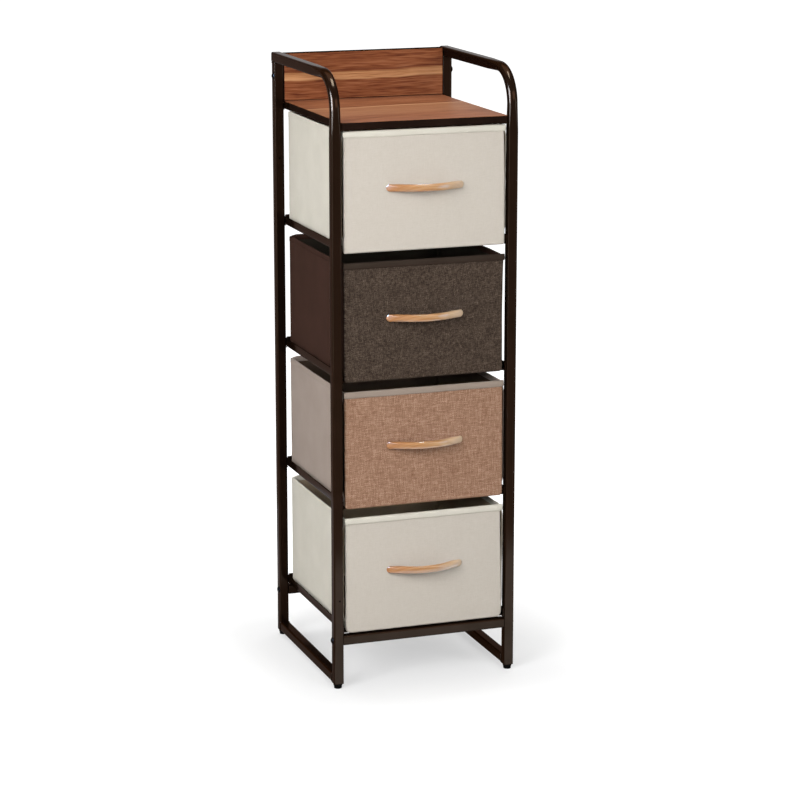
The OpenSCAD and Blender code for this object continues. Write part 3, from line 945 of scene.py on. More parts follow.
def stitch_tree() -> RepeatTree:
    """Make the tree that lays thread stitches along curves."""
    made = RepeatTree("Stitches along a seam", {"Pitch": 0.0032, "Stitch": 0.0024, "Thread": 0.0006})
    tree, given = made.tree, made.given
    even = tree.add("GeometryNodeResampleCurve", {"Curve": given["Geometry"], "Length": given["Pitch"]},
                    mode="LENGTH")
    bead = tree.add("GeometryNodeMeshUVSphere", {"Segments": 6, "Rings": 5, "Radius": 0.5})
    size = tree.add("ShaderNodeCombineXYZ",
                    {"X": given["Stitch"], "Y": given["Thread"], "Z": given["Thread"]})
    shape = tree.add("GeometryNodeTransform", {"Geometry": bead.outputs["Mesh"], "Scale": size.outputs[0]})
    tangent = tree.add("GeometryNodeInputTangent")
    stray = 0.12
    jitter = tree.add("FunctionNodeRandomValue",
                      {0: (-stray, -stray, -stray), 1: (stray, stray, stray), "Seed": 8},
                      data_type="FLOAT_VECTOR")
    along = tree.add("ShaderNodeVectorMath", {0: tangent.outputs[0], 1: jitter.outputs[0]}, operation="ADD")
    aim = tree.add("FunctionNodeAlignRotationToVector", {"Vector": along.outputs[0]}, axis="X")
    repeat = tree.add("GeometryNodeInstanceOnPoints",
                      {"Points": even.outputs[0], "Instance": shape.outputs[0], "Rotation": aim.outputs[0]})
    made.close(repeat.outputs[0])
    return made


def weld_tree() -> RepeatTree:
    """Make the tree that runs a rippled weld bead along curves."""
    made = RepeatTree("Weld bead", {"Bead Radius": 0.0013, "Ripple": 0.0004, "Step": 0.0009})
    tree, given = made.tree, made.given
    even = tree.add("GeometryNodeResampleCurve", {"Curve": given["Geometry"], "Length": given["Step"]},
                    mode="LENGTH")
    ring = tree.add("GeometryNodeCurvePrimitiveCircle", {"Resolution": 8, "Radius": given["Bead Radius"]})
    bead = tree.add("GeometryNodeCurveToMesh",
                    {"Curve": even.outputs[0], "Profile Curve": ring.outputs[0], "Fill Caps": True})
    place_in = tree.add("GeometryNodeInputPosition")
    ripple = tree.add("ShaderNodeTexNoise", {"Vector": place_in.outputs[0], "Scale": 420.0, "Detail": 2.0})
    lift = tree.math("MULTIPLY", tree.math("SUBTRACT", ripple.outputs["Fac"], 0.5), given["Ripple"])
    normal = tree.add("GeometryNodeInputNormal")
    push = tree.add("ShaderNodeVectorMath",
                    {0: normal.outputs[0], "Scale": tree.math("MULTIPLY", lift, 4.0)}, operation="SCALE")
    move = tree.add("GeometryNodeSetPosition", {"Geometry": bead.outputs[0], "Offset": push.outputs[0]})
    made.close(move.outputs[0])
    return made


def curve_data(name: str, lines: list[list[Spot]], closed: bool = False) -> bpy.types.Curve:
    """Make poly curves from lists of points in millimetres."""
    curve = bpy.data.curves.new(name, "CURVE")
    curve.dimensions = "3D"
    for line in lines:
        spline = curve.splines.new("POLY")
        spline.points.add(len(line) - 1)
        for point, spot in zip(spline.points, line):
            point.co = (*(float(c) * MM for c in spot), 1.0)
        spline.use_cyclic_u = closed
    return curve


def point_mesh(name: str, spots: list[tuple[Spot, Spot]]) -> bpy.types.Mesh:
    """Make a mesh of loose points, each with the direction its fastener faces."""
    mesh = bpy.data.meshes.new(name)
    mesh.from_pydata([[float(c) * MM for c in spot] for spot, _ in spots], [], [])
    layer = mesh.attributes.new("outward", "FLOAT_VECTOR", "POINT")
    layer.data.foreach_set("vector", [float(c) for _, way in spots for c in way])
    return mesh


def fasten(copies: RepeatTree, pattern: Shell, spots: list[tuple[Spot, Spot]], finish: Finish,
           body: str, node: str) -> None:
    """Put one fastener at each spot, as one piece.

    Args:
        copies: The tree that repeats it.
        pattern: The fastener, facing +Z with its seat at z = 0.
        spots: Places and the directions that the fasteners face.
        finish: Their finish.
        body: Body that they move with.
        node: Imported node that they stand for.
    """
    part = bpy.data.objects.new("Fastener pattern", pattern.mesh("Fastener pattern", FASTENER_SHARP))
    points = point_mesh(f"{node} points", spots)
    mesh = copies.run(f"{node}_skin", points, finish.material(), FASTENER_SHARP, copy=part)
    place(mesh, finish, body, (node,))
    bpy.data.objects.remove(part)


def lathe(profile: list[tuple[float, float]], steps: int) -> np.ndarray:
    """Turn a profile of radius and height into rings round Z."""
    return np.array([lay_out(circle(radius, steps), Facing.Z, ORIGIN, height) for radius, height in profile])


def dome_bolt(head: float, rise: float = 2.9, socket: float = 4.0, depth: float = 1.8) -> Shell:
    """Make a domed bolt head with a hexagon socket, facing +Z with its seat at z = 0."""
    steps = 48
    dome = (head * head + rise * rise) / (2 * rise)
    low_rim = 0.25

    def hexagon(size: float) -> list[float]:
        """List the reach of a hexagon of that width across its flats."""
        folds = ((angle + math.pi / 6) % (math.pi / 3) - math.pi / 6 for angle in even_turns(steps))
        return [size / 2 / math.cos(fold) for fold in folds]

    rings = list(lathe([(0.02, rise - depth - 0.4)], steps))
    for size, height in ((socket * 0.97, rise - depth), (socket * 0.99, rise - 0.35)):
        rings.append(lay_out(polar(hexagon(size)), Facing.Z, ORIGIN, height))
    for share in (0.0, 0.15, 0.35, 0.55, 0.75, 0.9, 1.0):
        reaches = [inner + (head - inner) * share for inner in hexagon(socket + 0.25)]
        ring = lay_out(polar(reaches), Facing.Z, ORIGIN, 0.0)
        ring[:, 2] = [max(math.sqrt(dome * dome - min(reach, head) ** 2) - (dome - rise), low_rim)
                      for reach in reaches]
        rings.append(ring)
    return tube_shell([*rings, *lathe([(head, 0.0), (0.5 * head, -1.0)], steps)])


def pan_screw(head: float, rise: float) -> Shell:
    """Make a pan-head screw with a cross recess, facing +Z with its seat at z = 0."""
    steps = 32
    arm = 0.45

    def cross(scale: float) -> list[float]:
        """List the reach of the cross recess."""
        folds = (abs((angle % (math.pi / 2)) - math.pi / 4) for angle in even_turns(steps))
        return [head * (0.14 + 0.42 * max(0.0, (fold - arm) / (math.pi / 4 - arm))) * scale for fold in folds]

    rings = list(lathe([(0.02, rise * 0.35)], steps))
    for scale, height in ((0.55, rise * 0.4), (1.0, rise * 0.97)):
        rings.append(lay_out(polar(cross(scale)), Facing.Z, ORIGIN, height))
    profile = ((0.66, 0.99), (0.84, 0.9), (0.96, 0.66), (1.0, 0.3), (0.98, 0.0), (0.5, -0.2))
    return tube_shell([*rings, *lathe([(head * radius, rise * height) for radius, height in profile], steps)])


# The steel frame


@dataclass
class TubeFrame:
    """Bent tubes, posts, rails, runners, stops, feet and fasteners of the steel frame."""

    tube: float = 16.0
    corner: float = 2.6
    drawn_corner: float = 4.0
    bend: float = 56.0
    vent: float = 3.0
    vent_low: float = 148.0
    vent_high: float = 822.0
    sheet: float = 1.5
    leg: float = 14.0
    bracket: float = 37.5
    sheet_bead: float = 5.0
    bolt_head: float = 6.0
    screw_head: float = 4.0
    screw_rise: float = 1.2

    def __post_init__(self) -> None:
        """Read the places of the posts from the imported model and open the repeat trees."""
        low, high = node_box("right_bent_tube")
        self.front, self.rear, self.top = low[1], high[1], high[2]
        self.foot = low[2]
        self.post_x = (low[0] + high[0]) / 2
        self.inner_x = low[0]
        self.front_mid = self.front + self.tube / 2
        self.rear_mid = self.rear - self.tube / 2
        self.rear_face = self.rear - self.tube
        self.rail_z = self.top - self.tube / 2
        self.outline = rounded_rect(self.tube, self.tube, self.corner)
        self.welds = weld_tree()
        self.copies = copies_tree()

    def build(self) -> None:
        """Build every piece of the frame."""
        for side in Side:
            self.bent_tube(side)
            self.rear_post(side)
            self.foot_rail(side)
            self.end_cap(side)
            for level in LEVELS:
                self.runner(side, level)
            self.brackets(side)
            for end in End:
                self.glide(end, side)
        for end in End:
            self.cross_rail(end)
        for level in LEVELS:
            self.stop_bar(level)
        self.weld_beads()
        self.fasteners()

    def drill(self, mesh: bpy.types.Mesh, name: str, spot: Spot) -> bpy.types.Mesh:
        """Cut a vent hole into the front face of a tube.

        Args:
            mesh: The tube.
            name: Name of the drilled mesh.
            spot: Middle of the hole on the face.

        Returns:
            The drilled mesh.
        """
        x, face, z = spot
        ends = (face - 3.0, face + 7.0)
        hole = tube_shell([lay_out(circle(self.vent / 2, 28), Facing.Y, (x, z), y) for y in ends])
        cutter = bpy.data.objects.new("Hole cutter", hole.mesh("Hole cutter"))
        target = bpy.data.objects.new("Drilled tube", mesh)
        for item in (cutter, target):
            bpy.context.scene.collection.objects.link(item)
        cut = target.modifiers.new("Vent hole", "BOOLEAN")
        cut.object, cut.operation, cut.solver = cutter, "DIFFERENCE", "EXACT"
        graph = bpy.context.evaluated_depsgraph_get()
        made = bpy.data.meshes.new_from_object(target.evaluated_get(graph), depsgraph=graph)
        for item in (cutter, target):
            bpy.data.objects.remove(item)
        made.name = name
        tidy_mesh(made, HARD_SHARP)
        return made

    def drawn_outline(self, share: float) -> np.ndarray:
        """Outline the tube where bending has rounded its corners, with share 1 inside the bend."""
        return rounded_rect(self.tube, self.tube, self.corner + self.drawn_corner * share)

    def bent_tube(self, side: Side) -> None:
        """Build a front post, its bend and its top rail in one sweep."""
        x = side.value * self.post_x
        bend_y = self.front_mid + self.bend
        bend_z = self.rail_z - self.bend
        ease = 40.0
        eases = [(away, self.drawn_outline(1 - away / ease)) for away in (ease, 30.0, 20.0, 10.0)]
        stops = [(self.outline, (x, self.front_mid, self.foot + rise), BACKWARD) for rise in (0, 300, 600)]
        stops += [(outline, (x, self.front_mid, bend_z - away), BACKWARD) for away, outline in eases]
        for step in range(33):
            angle = math.radians(90 * step / 32)
            outward = Vector((0, -math.cos(angle), math.sin(angle)))
            spot = Vector((x, bend_y, bend_z)) + outward * self.bend
            stops.append((self.drawn_outline(1.0), spot, -outward))
        stops += [(outline, (x, bend_y + away, self.rail_z), -UPWARD) for away, outline in reversed(eases)]
        stops += [(self.outline, (x, y, self.rail_z), -UPWARD) for y in (bend_y + 140, self.rear)]
        rings = [sweep(outline, [(Vector(spot), ACROSS, up)])[0] for outline, spot, up in stops]
        name = f"{side.word}_bent_tube_skin"
        mesh = tube_shell(rings).mesh(name)
        if side is Side.LEFT:
            mesh = self.drill(mesh, name, (x + 1.5, self.front, self.vent_low))
        even_shading(place(mesh, STEEL, "frame", (f"{side.word}_bent_tube",)))

    def rear_post(self, side: Side) -> None:
        """Build a rear post."""
        x = side.value * self.post_x
        spots = [(Vector((x, self.rear_mid, z)), ACROSS, BACKWARD)
                 for z in (self.foot, 330.0, 660.0, self.top - self.tube)]
        name = f"{side.word}_rear_post_skin"
        mesh = tube_shell(sweep(self.outline, spots)).mesh(name)
        if side is Side.LEFT:
            mesh = self.drill(mesh, name, (x, self.rear_face, self.vent_high))
        even_shading(place(mesh, STEEL, "frame", (f"{side.word}_rear_post",)))

    def foot_rail(self, side: Side) -> None:
        """Build the low rail between the posts of one side."""
        node = f"{side.word}_foot_rail"
        low, high = node_box(node)
        z = (low[2] + high[2]) / 2
        spots = [(Vector((side.value * self.post_x, y, z)), ACROSS, UPWARD)
                 for y in (low[1] - 1, 0.0, high[1] + 1)]
        even_shading(dress(tube_shell(sweep(self.outline, spots)), STEEL, "frame", node))

    def cross_rail(self, end: End) -> None:
        """Build the rail that joins the side frames."""
        node = f"{end.word}_cross_rail"
        low, high = node_box(node)
        bar = soft_bar((high[0] - low[0], self.tube, self.tube), tuple((low + high) / 2), self.corner)
        even_shading(dress(bar, STEEL, "frame", node))

    def stop_bar(self, level: int) -> None:
        """Build the bar behind a drawer."""
        node = f"stop_bar_{level}"
        low, high = node_box(node)
        bar = soft_bar(tuple(high - low), tuple((low + high) / 2), 0.9)
        even_shading(dress(bar, STEEL, "frame", node))

    def folded_strip(self, shell: Shell, side: Side, rise: float, foot: float,
                     ends: tuple[float, float]) -> None:
        """Add a folded angle against the posts of one side.

        Args:
            shell: Shell that it goes into.
            side: Side of the cabinet.
            rise: Height of its upright leg.
            foot: Height of its flat leg's underside above the floor.
            ends: Where it starts and ends along Y.
        """
        outline = angle_outline(self.leg, rise, self.sheet) * (side.value, 1)
        start, end = ends
        ease, eased_size = 0.3, 0.985
        corner = (side.value * self.inner_x, foot)
        places = ((start, eased_size), (start + ease, 1.0), (end - ease, 1.0), (end, eased_size))
        shell.tube(np.array([lay_out(outline * size, Facing.Y, corner, y) for y, size in places]))

    def runner(self, side: Side, level: int) -> None:
        """Build the folded angle that carries one side of a drawer, with its tab beside the front."""
        node = f"{side.word}_runner_{level}"
        low, high = node_box(node)
        flat_start = node_box(f"drawer_{level}_front")[1][1] + 0.3
        shell = Shell()
        self.folded_strip(shell, side, self.leg, low[2], (flat_start, high[1]))
        tab = rounded_rect(self.sheet, self.leg, 0.4, 3) * (side.value, 1)
        middle = (side.value * (self.inner_x - self.sheet / 2), low[2] + self.leg / 2)
        shell.tube(np.array([lay_out(tab, Facing.Y, middle, y) for y in (low[1], flat_start + 0.1)]))
        dress(shell, STEEL, "frame", node)

    def brackets(self, side: Side) -> None:
        """Build the two short angles under one side of the top board."""
        node = f"{side.word}_board_brackets"
        low, high = node_box(node)
        shell = Shell()
        for ends in ((low[1], low[1] + self.bracket), (high[1] - self.bracket, high[1])):
            self.folded_strip(shell, side, high[2] - low[2], low[2], ends)
        dress(shell, STEEL, "frame", node)

    def glide(self, end: End, side: Side) -> None:
        """Build the foot under a post, with its plug."""
        y = self.front_mid if end is End.FRONT else self.rear_mid
        profile = [(0.01, 0.0), (5.2, 0.0), (5.9, 0.25), (6.3, 0.9), (6.5, 4.2), (6.7, 4.7), (7.2, 5.0),
                   (7.3, 5.6), (7.3, 7.7), (7.1, 8.1), (6.4, 8.3), (5.6, 8.6), (5.5, 12.0), (0.01, 12.0)]
        rings = lathe(profile, 36) + np.array([side.value * self.post_x, y, 0.0])
        dress(tube_shell(rings), PLASTIC, "frame", f"{end.word}_{side.word}_glide", 50.0)

    def end_cap(self, side: Side) -> None:
        """Build the plug that closes the rear end of a top rail."""
        middle = (side.value * self.post_x, self.rail_z)
        rings = []
        for y, inset in ((-14.0, 2.2), (-13.2, 1.5), (-0.05, 1.5), (0.0, 0.1), (0.25, -0.1), (1.0, 0.0),
                         (1.35, 0.35), (1.5, 0.9)):
            size = self.tube - 2 * inset
            outline = rounded_rect(size, size, max(self.corner - inset, 0.5))
            rings.append(lay_out(outline, Facing.Y, middle, self.rear + y))
        nodes = ("rail_end_caps",) if side is Side.LEFT else ()
        place(tube_shell(rings).mesh(f"{side.word}_rail_end_cap"), PLASTIC, "frame", nodes)

    def sheet_welds(self, side: Side, heights: tuple[float, ...]) -> list[list[Spot]]:
        """List the short weld runs that join a folded strip to both posts of its side."""
        x = side.value * (self.inner_x - 0.4)
        starts = ((self.front + self.tube - 0.4, -self.sheet_bead), (self.rear_face + 0.4, self.sheet_bead))
        return [[(x, y, z), (x, y + reach, z)] for y, reach in starts for z in heights]

    def weld_beads(self) -> None:
        """Run weld beads round the joints of rails, runners, brackets and stops."""
        outline = self.outline * 0.99
        rings, runs = [], []
        for side in Side:
            x = side.value * self.post_x
            low, high = node_box(f"{side.word}_foot_rail")
            middle = (x, (low[2] + high[2]) / 2)
            rings += [lay_out(outline, Facing.Y, middle, y) for y in (low[1] + 0.5, high[1] - 0.5)]
            rings.append(lay_out(outline, Facing.Z, (x, self.rear_mid), self.top - self.tube - 0.3))
            for level in LEVELS:
                low, high = node_box(f"{side.word}_runner_{level}")
                runs += self.sheet_welds(side, (low[2] - 0.1, high[2] + 0.1))
            runs += self.sheet_welds(side, (node_box(f"{side.word}_board_brackets")[0][2] - 0.1,))
        for level in LEVELS:
            low, high = node_box(f"stop_bar_{level}")
            for x in (low[0] + 0.3, high[0] - 0.3):
                runs.append([(x, high[1] - 0.2, low[2] + 1), (x, high[1] - 0.2, high[2] - 1)])
        for name, curve, radius in (("tube_weld_beads", curve_data("Weld rings", rings, True), 0.0010),
                                    ("sheet_weld_beads", curve_data("Weld runs", runs), 0.0009)):
            beads = self.welds.run(name, curve, STEEL.material(), SOFT_SHARP, bead_radius=radius)
            place(beads, STEEL, "frame")

    def fasteners(self) -> None:
        """Put in the bolts of the rails and the panel and the screws under the board."""
        outer_x = self.post_x + self.tube / 2
        rail_z = node_middle("front_cross_rail")[2]
        panel_z = node_box("panel_bolts")[0][2] + self.bolt_head
        bolt_places = {
            "cross_rail_bolts": [(node_middle(f"{end.word}_cross_rail")[1], rail_z) for end in End],
            "panel_bolts": [(self.rear_face + self.bolt_head, panel_z)],
        }
        for node, places in bolt_places.items():
            spots = [((side.value * outer_x, y, z), (side.value, 0, 0)) for side in Side for y, z in places]
            fasten(self.copies, dome_bolt(self.bolt_head), spots, BOLT_STEEL, "frame", node)
        low, high = node_box("board_screws")
        seat = node_box("left_board_brackets")[0][2]
        head = self.screw_head
        spots = [((x, y, seat), (0, 0, -1))
                 for x in (low[0] + head, high[0] - head) for y in (low[1] + head, high[1] - head)]
        fasten(self.copies, pan_screw(head, self.screw_rise), spots, ZINC, "frame", "board_screws")


# The printed boards


@dataclass
class PrintedBoards:
    """Top board and back panel with their dark edge bands."""

    band: float = 1.0
    lip: float = 0.8

    def build(self) -> None:
        """Build both boards and both bands; the top board's print laps over the top of its band."""
        self.slab("top_board", SHELF_PRINT, Facing.Z, self.lip)
        self.slab("back_panel", PANEL_PRINT, Facing.Y, 0.0)
        self.ring("board_edge_band", Facing.Z, self.lip)
        self.ring("panel_edge_band", Facing.Y, 0.0)

    def slab(self, node: str, finish: Finish, facing: Facing, lip: float) -> None:
        """Build the printed slab inside a band.

        Args:
            node: Node that the slab stands for.
            finish: Its print.
            facing: Which way its face looks.
            lip: How far down the print laps over the band, or 0.
        """
        low, high = node_box(node)
        first, second, through = facing.value
        size, middle = high - low, (low + high) / 2
        thick = size[through]
        stack = eased(0.25, (0.0, 0.3, 0.6, 1.0))
        if lip:
            stack += [(thick - lip, 0.0), (thick - lip, 0.05 - self.band), (thick, lip - self.band)]
        else:
            stack += [(thick - height, inset) for height, inset in reversed(stack)]
        rings = []
        for height, inset in stack:
            outline = rounded_rect(size[first] - 2 * inset, size[second] - 2 * inset, 0.8, 3)
            rings.append(lay_out(outline, facing, (middle[first], middle[second]), low[through] + height))
        even_shading(dress(tube_shell(rings), finish, "frame", node))

    def ring(self, node: str, facing: Facing, lip: float) -> None:
        """Build the band that runs round a board's edges, up to the lip of the print."""
        low, high = node_box(node)
        first, second, through = facing.value
        size, middle = high - low, (low + high) / 2
        outer = rounded_rect(size[first], size[second], 2.0, 5)
        inner = rounded_rect(size[first] - 2 * self.band, size[second] - 2 * self.band, 1.0, 5)
        thick = size[through] - lip
        section = [(0.15, 0.35), (0.0, 0.5), (0.0, 1.0), (thick, 1.0), (thick, 0.5), (thick - 0.15, 0.15),
                   (thick - 0.4, 0.0), (0.4, 0.0)]
        centre = (middle[first], middle[second])
        rings = [lay_out(outer * (1 - share) + inner * share, facing, centre, low[through] + height)
                 for height, share in section]
        shell = Shell()
        shell.grid(np.array(rings), close_rows=True, close_columns=True)
        even_shading(dress(shell, EDGING, "frame", node))


# The fabric drawers


@dataclass
class FabricDrawer:
    """One open-topped drawer: woven front, folded cloth walls, base, binding, handle and screws."""

    number: int
    weave: Finish
    cloth: Finish
    trim: Finish
    lining: Finish
    corner: float
    left_pull: tuple[float, ...]
    right_pull: tuple[float, ...]
    left_gather: float = 0.3
    right_gather: float = 0.3
    belly: float = 0.0
    roll: float = 2.9
    wall: float = 2.5
    hem: float = 9.0
    corner_drop: float = 4.5
    handle_half: float = 64.5
    handle_rise: float = 23.0
    handle_foot: float = 19.5
    handle_thick: float = 8.0
    binding_tall: float = 10.0
    screw_x: float = 52.0
    screw_head: float = 4.0
    screw_rise: float = 2.4

    def __post_init__(self) -> None:
        """Read the drawer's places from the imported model."""
        self.body = f"drawer_{self.number}"
        low, high = node_box(f"{self.body}_front")
        self.face, self.back, self.low, self.half = low[1], high[1], low[2], high[0]
        self.rim = node_box(f"{self.body}_rim_binding")[1][2]
        self.front_top = high[2]
        self.thick = self.back - self.face
        walls_high = node_box(f"{self.body}_fabric_walls")[1]
        self.wall_half, self.wall_end = walls_high[0], walls_high[1]
        handle_low, handle_high = node_box(f"{self.body}_handle")
        self.handle_z = (handle_low[2] + handle_high[2]) / 2
        self.handle_h = handle_high[2] - handle_low[2]

    def build(self, stitches: RepeatTree, copies: RepeatTree) -> None:
        """Build every piece of the drawer."""
        self.front()
        self.walls()
        self.base()
        self.binding()
        self.handle()
        self.screws(copies)
        self.seams(stitches)

    def noise(self, a: float, b: float, scale: float, layer: int, octaves: int = 3) -> float:
        """Give soft noise that belongs to this drawer; scale is the size of its bumps in millimetres."""
        return smooth_noise(a / scale, b / scale, 10 * self.number + layer, octaves)

    def edge_x(self, side: Side, z: float) -> float:
        """Give half the width of the front at a height, pulled in where the cloth is tight."""
        t = (self.front_top - z) / (self.front_top - self.low)
        pulls = self.left_pull if side is Side.LEFT else self.right_pull
        return self.half - blend_controls(pulls, t)

    def front_point(self, u: float, v: float) -> tuple[float, float]:
        """Give the place on the front for a step along and up, both 0 to 1, with rounded lower corners."""
        z = self.low + (self.front_top - self.low) * v
        left, right = -self.edge_x(Side.LEFT, z), self.edge_x(Side.RIGHT, z)
        x = left + (right - left) * u
        for sign, from_side in ((1, x - left), (-1, right - x)):
            from_low = z - self.low
            r = self.corner
            if from_side < r and from_low < r:
                depth = min(from_side, from_low)
                radius = r - depth
                if radius < 1e-6:
                    return x, z
                if from_side < from_low:
                    turn = 0.5 * (r - from_low) / radius
                else:
                    turn = 1 - 0.5 * (r - from_side) / radius
                angle = turn * math.pi / 2
                centre_x = left + r if sign > 0 else right - r
                x = centre_x - sign * radius * math.cos(angle)
                z = self.low + r - radius * math.sin(angle)
        return x, z

    def front_relief(self, x: float, z: float, from_side: float, from_foot: float, edge: float) -> float:
        """Work out how far the cloth of the front lies in from its face.

        Args:
            x: Place across the front.
            z: Height above the floor.
            from_side: Distance to the nearer side edge.
            from_foot: Distance to the lower edge.
            edge: Distance to the nearest edge.

        Returns:
            The depth in millimetres, without the rolled edges.
        """
        swell = 0.33 * self.noise(x, z, 60.0, 1) * min(1.0, edge / 14.0)
        tight = 0.18 * self.noise(x, z, 9.0, 2, 2) * min(1.0, edge / 3.0)
        hem_line = 0.35 * math.exp(-((from_foot - 6.5) / 0.9) ** 2)
        side_line = 0.2 * math.exp(-((from_side - 5.5) / 1.1) ** 2)
        under_band = self.rim - self.binding_tall - z
        press = 0.0
        if under_band > -2:
            press = 0.22 * math.exp(-(max(under_band, 0.0) / 7.0) ** 2) * self.noise(x, 0.0, 4.5, 9, 2)
        for spot in (-self.screw_x, self.screw_x):
            gap = math.hypot((x - spot) / 1.5, z - self.handle_z)
            press += 0.5 * math.exp(-(gap / 9.0) ** 2)
        return swell + 0.25 + tight + hem_line + side_line + press

    def front(self) -> None:
        """Build the cloth-covered front with rolled edges."""
        width, height = 2 * self.half, self.front_top - self.low
        set_back = 0.1
        near = [0.0, 0.12, 0.35, 0.75, 1.3, 2.0, 2.9, 4.5, 6.5, 9.0, 13.0]
        us = near + list(np.linspace(18.0, width - 18.0, 58)) + [width - n for n in reversed(near)]
        vs = near + list(np.linspace(17.0, height - 5.0, 44)) + [height - n for n in (2.9, 1.3, 0.35, 0.0)]
        back_roll = self.thick - self.roll
        front_rows, back_rows = [], []
        for v in vs:
            front_row, back_row = [], []
            for u in us:
                x, z = self.front_point(u / width, v / height)
                from_side = min(u, width - u)
                edge = min(from_side, v, height - v)
                depth = self.roll * rolled(edge, self.roll) + self.front_relief(x, z, from_side, v, edge)
                front_row.append((x, self.face + depth, z))
                back_row.append((x, self.back - back_roll * rolled(edge, back_roll) - set_back, z))
            front_rows.append(front_row)
            back_rows.append(back_row)
        shell = Shell()
        loops = []
        for rows in (np.array(front_rows), np.array(back_rows)):
            shell.grid(rows)
            sides = (rows[0, :], rows[:, -1], rows[-1, ::-1], rows[::-1, 0])
            loops.append(np.concatenate([side[:-1] for side in sides]))
        shell.grid(np.array(loops), close_columns=True)
        dress(shell, self.weave, self.body, f"{self.body}_front", SOFT_SHARP)

    def wall_path(self) -> list[tuple[float, float, float, float, float]]:
        """List stops along the walls: x, y, outward direction, and how free the cloth is to move there."""
        low, high = node_box(f"{self.body}_fabric_walls")
        start, end, half, r = low[1] + 0.1, high[1], high[0], 7.0
        left, right = [], []
        for k in range(1, 8):
            a = math.radians(90 * k / 8)
            out_x, out_y = math.cos(a), math.sin(a)
            left.append((-half + r - r * out_x, end - r + r * out_y, -out_x, out_y, 0.3))
            right.append((half - r + r * out_x, end - r + r * out_y, out_x, out_y, 0.3))
        stops = [(-half, start + (end - r - start) * t, -1.0, 0.0, 1.0) for t in np.linspace(0, 1, 44)]
        stops += left
        stops += [(-half + r + (2 * half - 2 * r) * t, end, 0.0, 1.0, 0.0) for t in np.linspace(0, 1, 40)]
        stops += reversed(right)
        stops += [(half, end - r + (start - end + r) * t, 1.0, 0.0, 1.0) for t in np.linspace(0, 1, 44)]
        return stops

    def wall_rows(self, levels: list[float], height: float, low: float) -> tuple[np.ndarray, np.ndarray]:
        """Work out the outer and inner cloth of the walls.

        Args:
            levels: Heights above the foot of the wall.
            height: Whole height of the wall.
            low: Height of its foot above the floor.

        Returns:
            Rows of outer points and rows of inner points, one row for each level.
        """
        stops = self.wall_path()
        unrolled = 900.0  # Length of the walls' cloth, near enough to space its wrinkles
        sag_start, sag_length = -138.0, 287.0
        outer_rows, inner_rows = [], []
        for level in levels:
            outer_row, inner_row = [], []
            from_top = height - level
            hemmed = 1.0 if from_top <= self.hem + 0.1 else 0.0
            lip = 1.25 * rolled(from_top, 1.3)
            high_share = level / height
            to_flat = max(0.0, self.corner - level)
            foot_round = self.corner - math.sqrt(self.corner ** 2 - to_flat ** 2)
            calm = math.sin(math.pi * high_share) ** 0.5 if 0 < level < height else 0.0
            depth = self.wall - 0.3 + 0.45 * hemmed - 2 * lip
            for index, (x, y, nx, ny, free) in enumerate(stops):
                along = unrolled * index / (len(stops) - 1)
                wave = free * (0.75 * self.noise(along, level, 75.0, 3) * (0.35 + 0.65 * calm) - 0.5 * calm)
                crumple = 0.14 * self.noise(along, level, 11.0, 4, 2) * (0.3 + 0.7 * free)
                sag_share = min(max((y - sag_start) / sag_length, 0), 1)
                sag = -1.1 * math.sin(math.pi * sag_share) * high_share ** 3 * free
                sag += 0.35 * self.noise(along, 0.0, 35.0, 5) * high_share ** 6
                to_corner = math.hypot(self.wall_end - y, self.wall_half - abs(x))
                sag -= self.corner_drop * max(0.0, 1 - to_corner / 16.0) ** 2 * high_share ** 8
                push = wave + crumple - 0.25 + 0.3 * hemmed - lip - foot_round
                if ny == 0.0:
                    side = Side.LEFT if x < 0 else Side.RIGHT
                    push += self.shift_behind_front(side, y - self.back, level, height)
                if ny > 0.5:
                    push = min(push, -0.05)
                z = low + level + sag
                outer_row.append((x + nx * push, y + ny * push, z))
                inner_row.append((x + nx * (push - depth), y + ny * (push - depth), z))
            outer_rows.append(outer_row)
            inner_rows.append(inner_row)
        return np.array(outer_rows), np.array(inner_rows)

    def shift_behind_front(self, side: Side, away: float, level: float, height: float) -> float:
        """Move a side wall just behind the front: out in a soft belly, or in behind the front's edge.

        Args:
            side: Side of the wall.
            away: Distance behind the front.
            level: Height above the foot of the wall.
            height: Whole height of the wall.

        Returns:
            The move outward in millimetres.
        """
        if self.belly:
            upright = min(1.0, max(0.0, (level - 14.0) / 12.0), max(0.0, (height - level) / 16.0))
            return self.belly * upright * math.exp(-((away - 5.0) / 22.0) ** 2)
        behind = self.half - self.edge_x(side, min(self.low + level, self.front_top)) + 2.5
        return -behind * max(0.0, 1 - away / 55.0) ** 2

    def walls(self) -> None:
        """Build the left, back and right walls as one folded run, hemmed at the rim and lined inside."""
        node = f"{self.body}_fabric_walls"
        low, high = node_box(node)
        height = high[2] - low[2]
        hem_foot = height - self.hem
        levels = [self.corner * share for share in (0.0, 0.04, 0.12, 0.25, 0.45, 0.7)]
        levels += list(np.linspace(self.corner, hem_foot - 2.0, 24))
        levels += [hem_foot - 0.6, hem_foot - 0.2]
        fold = len(levels) - 1
        levels += [hem_foot + rise for rise in (0.3, 1.0, 3.0, 5.0, 7.0)]
        levels += [height - drop for drop in (1.3, 0.75, 0.35, 0.1, 0.0)]
        outer, inner = self.wall_rows(levels, height, low[2])
        middle = outer * 0.35 + inner * 0.65
        face = middle[:fold + 1] * 0.97 + inner[:fold + 1] * 0.03
        back = np.concatenate([middle[:fold], inner[fold:]])
        self.wall_shell("walls_skin", outer, back, self.cloth, (node,))
        # The lining of drawers 1, 3 and 4 is drawn darker than their walls, as painted shade inside the
        # drawer.
        self.wall_shell("lining", face, inner[:fold + 1], self.lining, ())

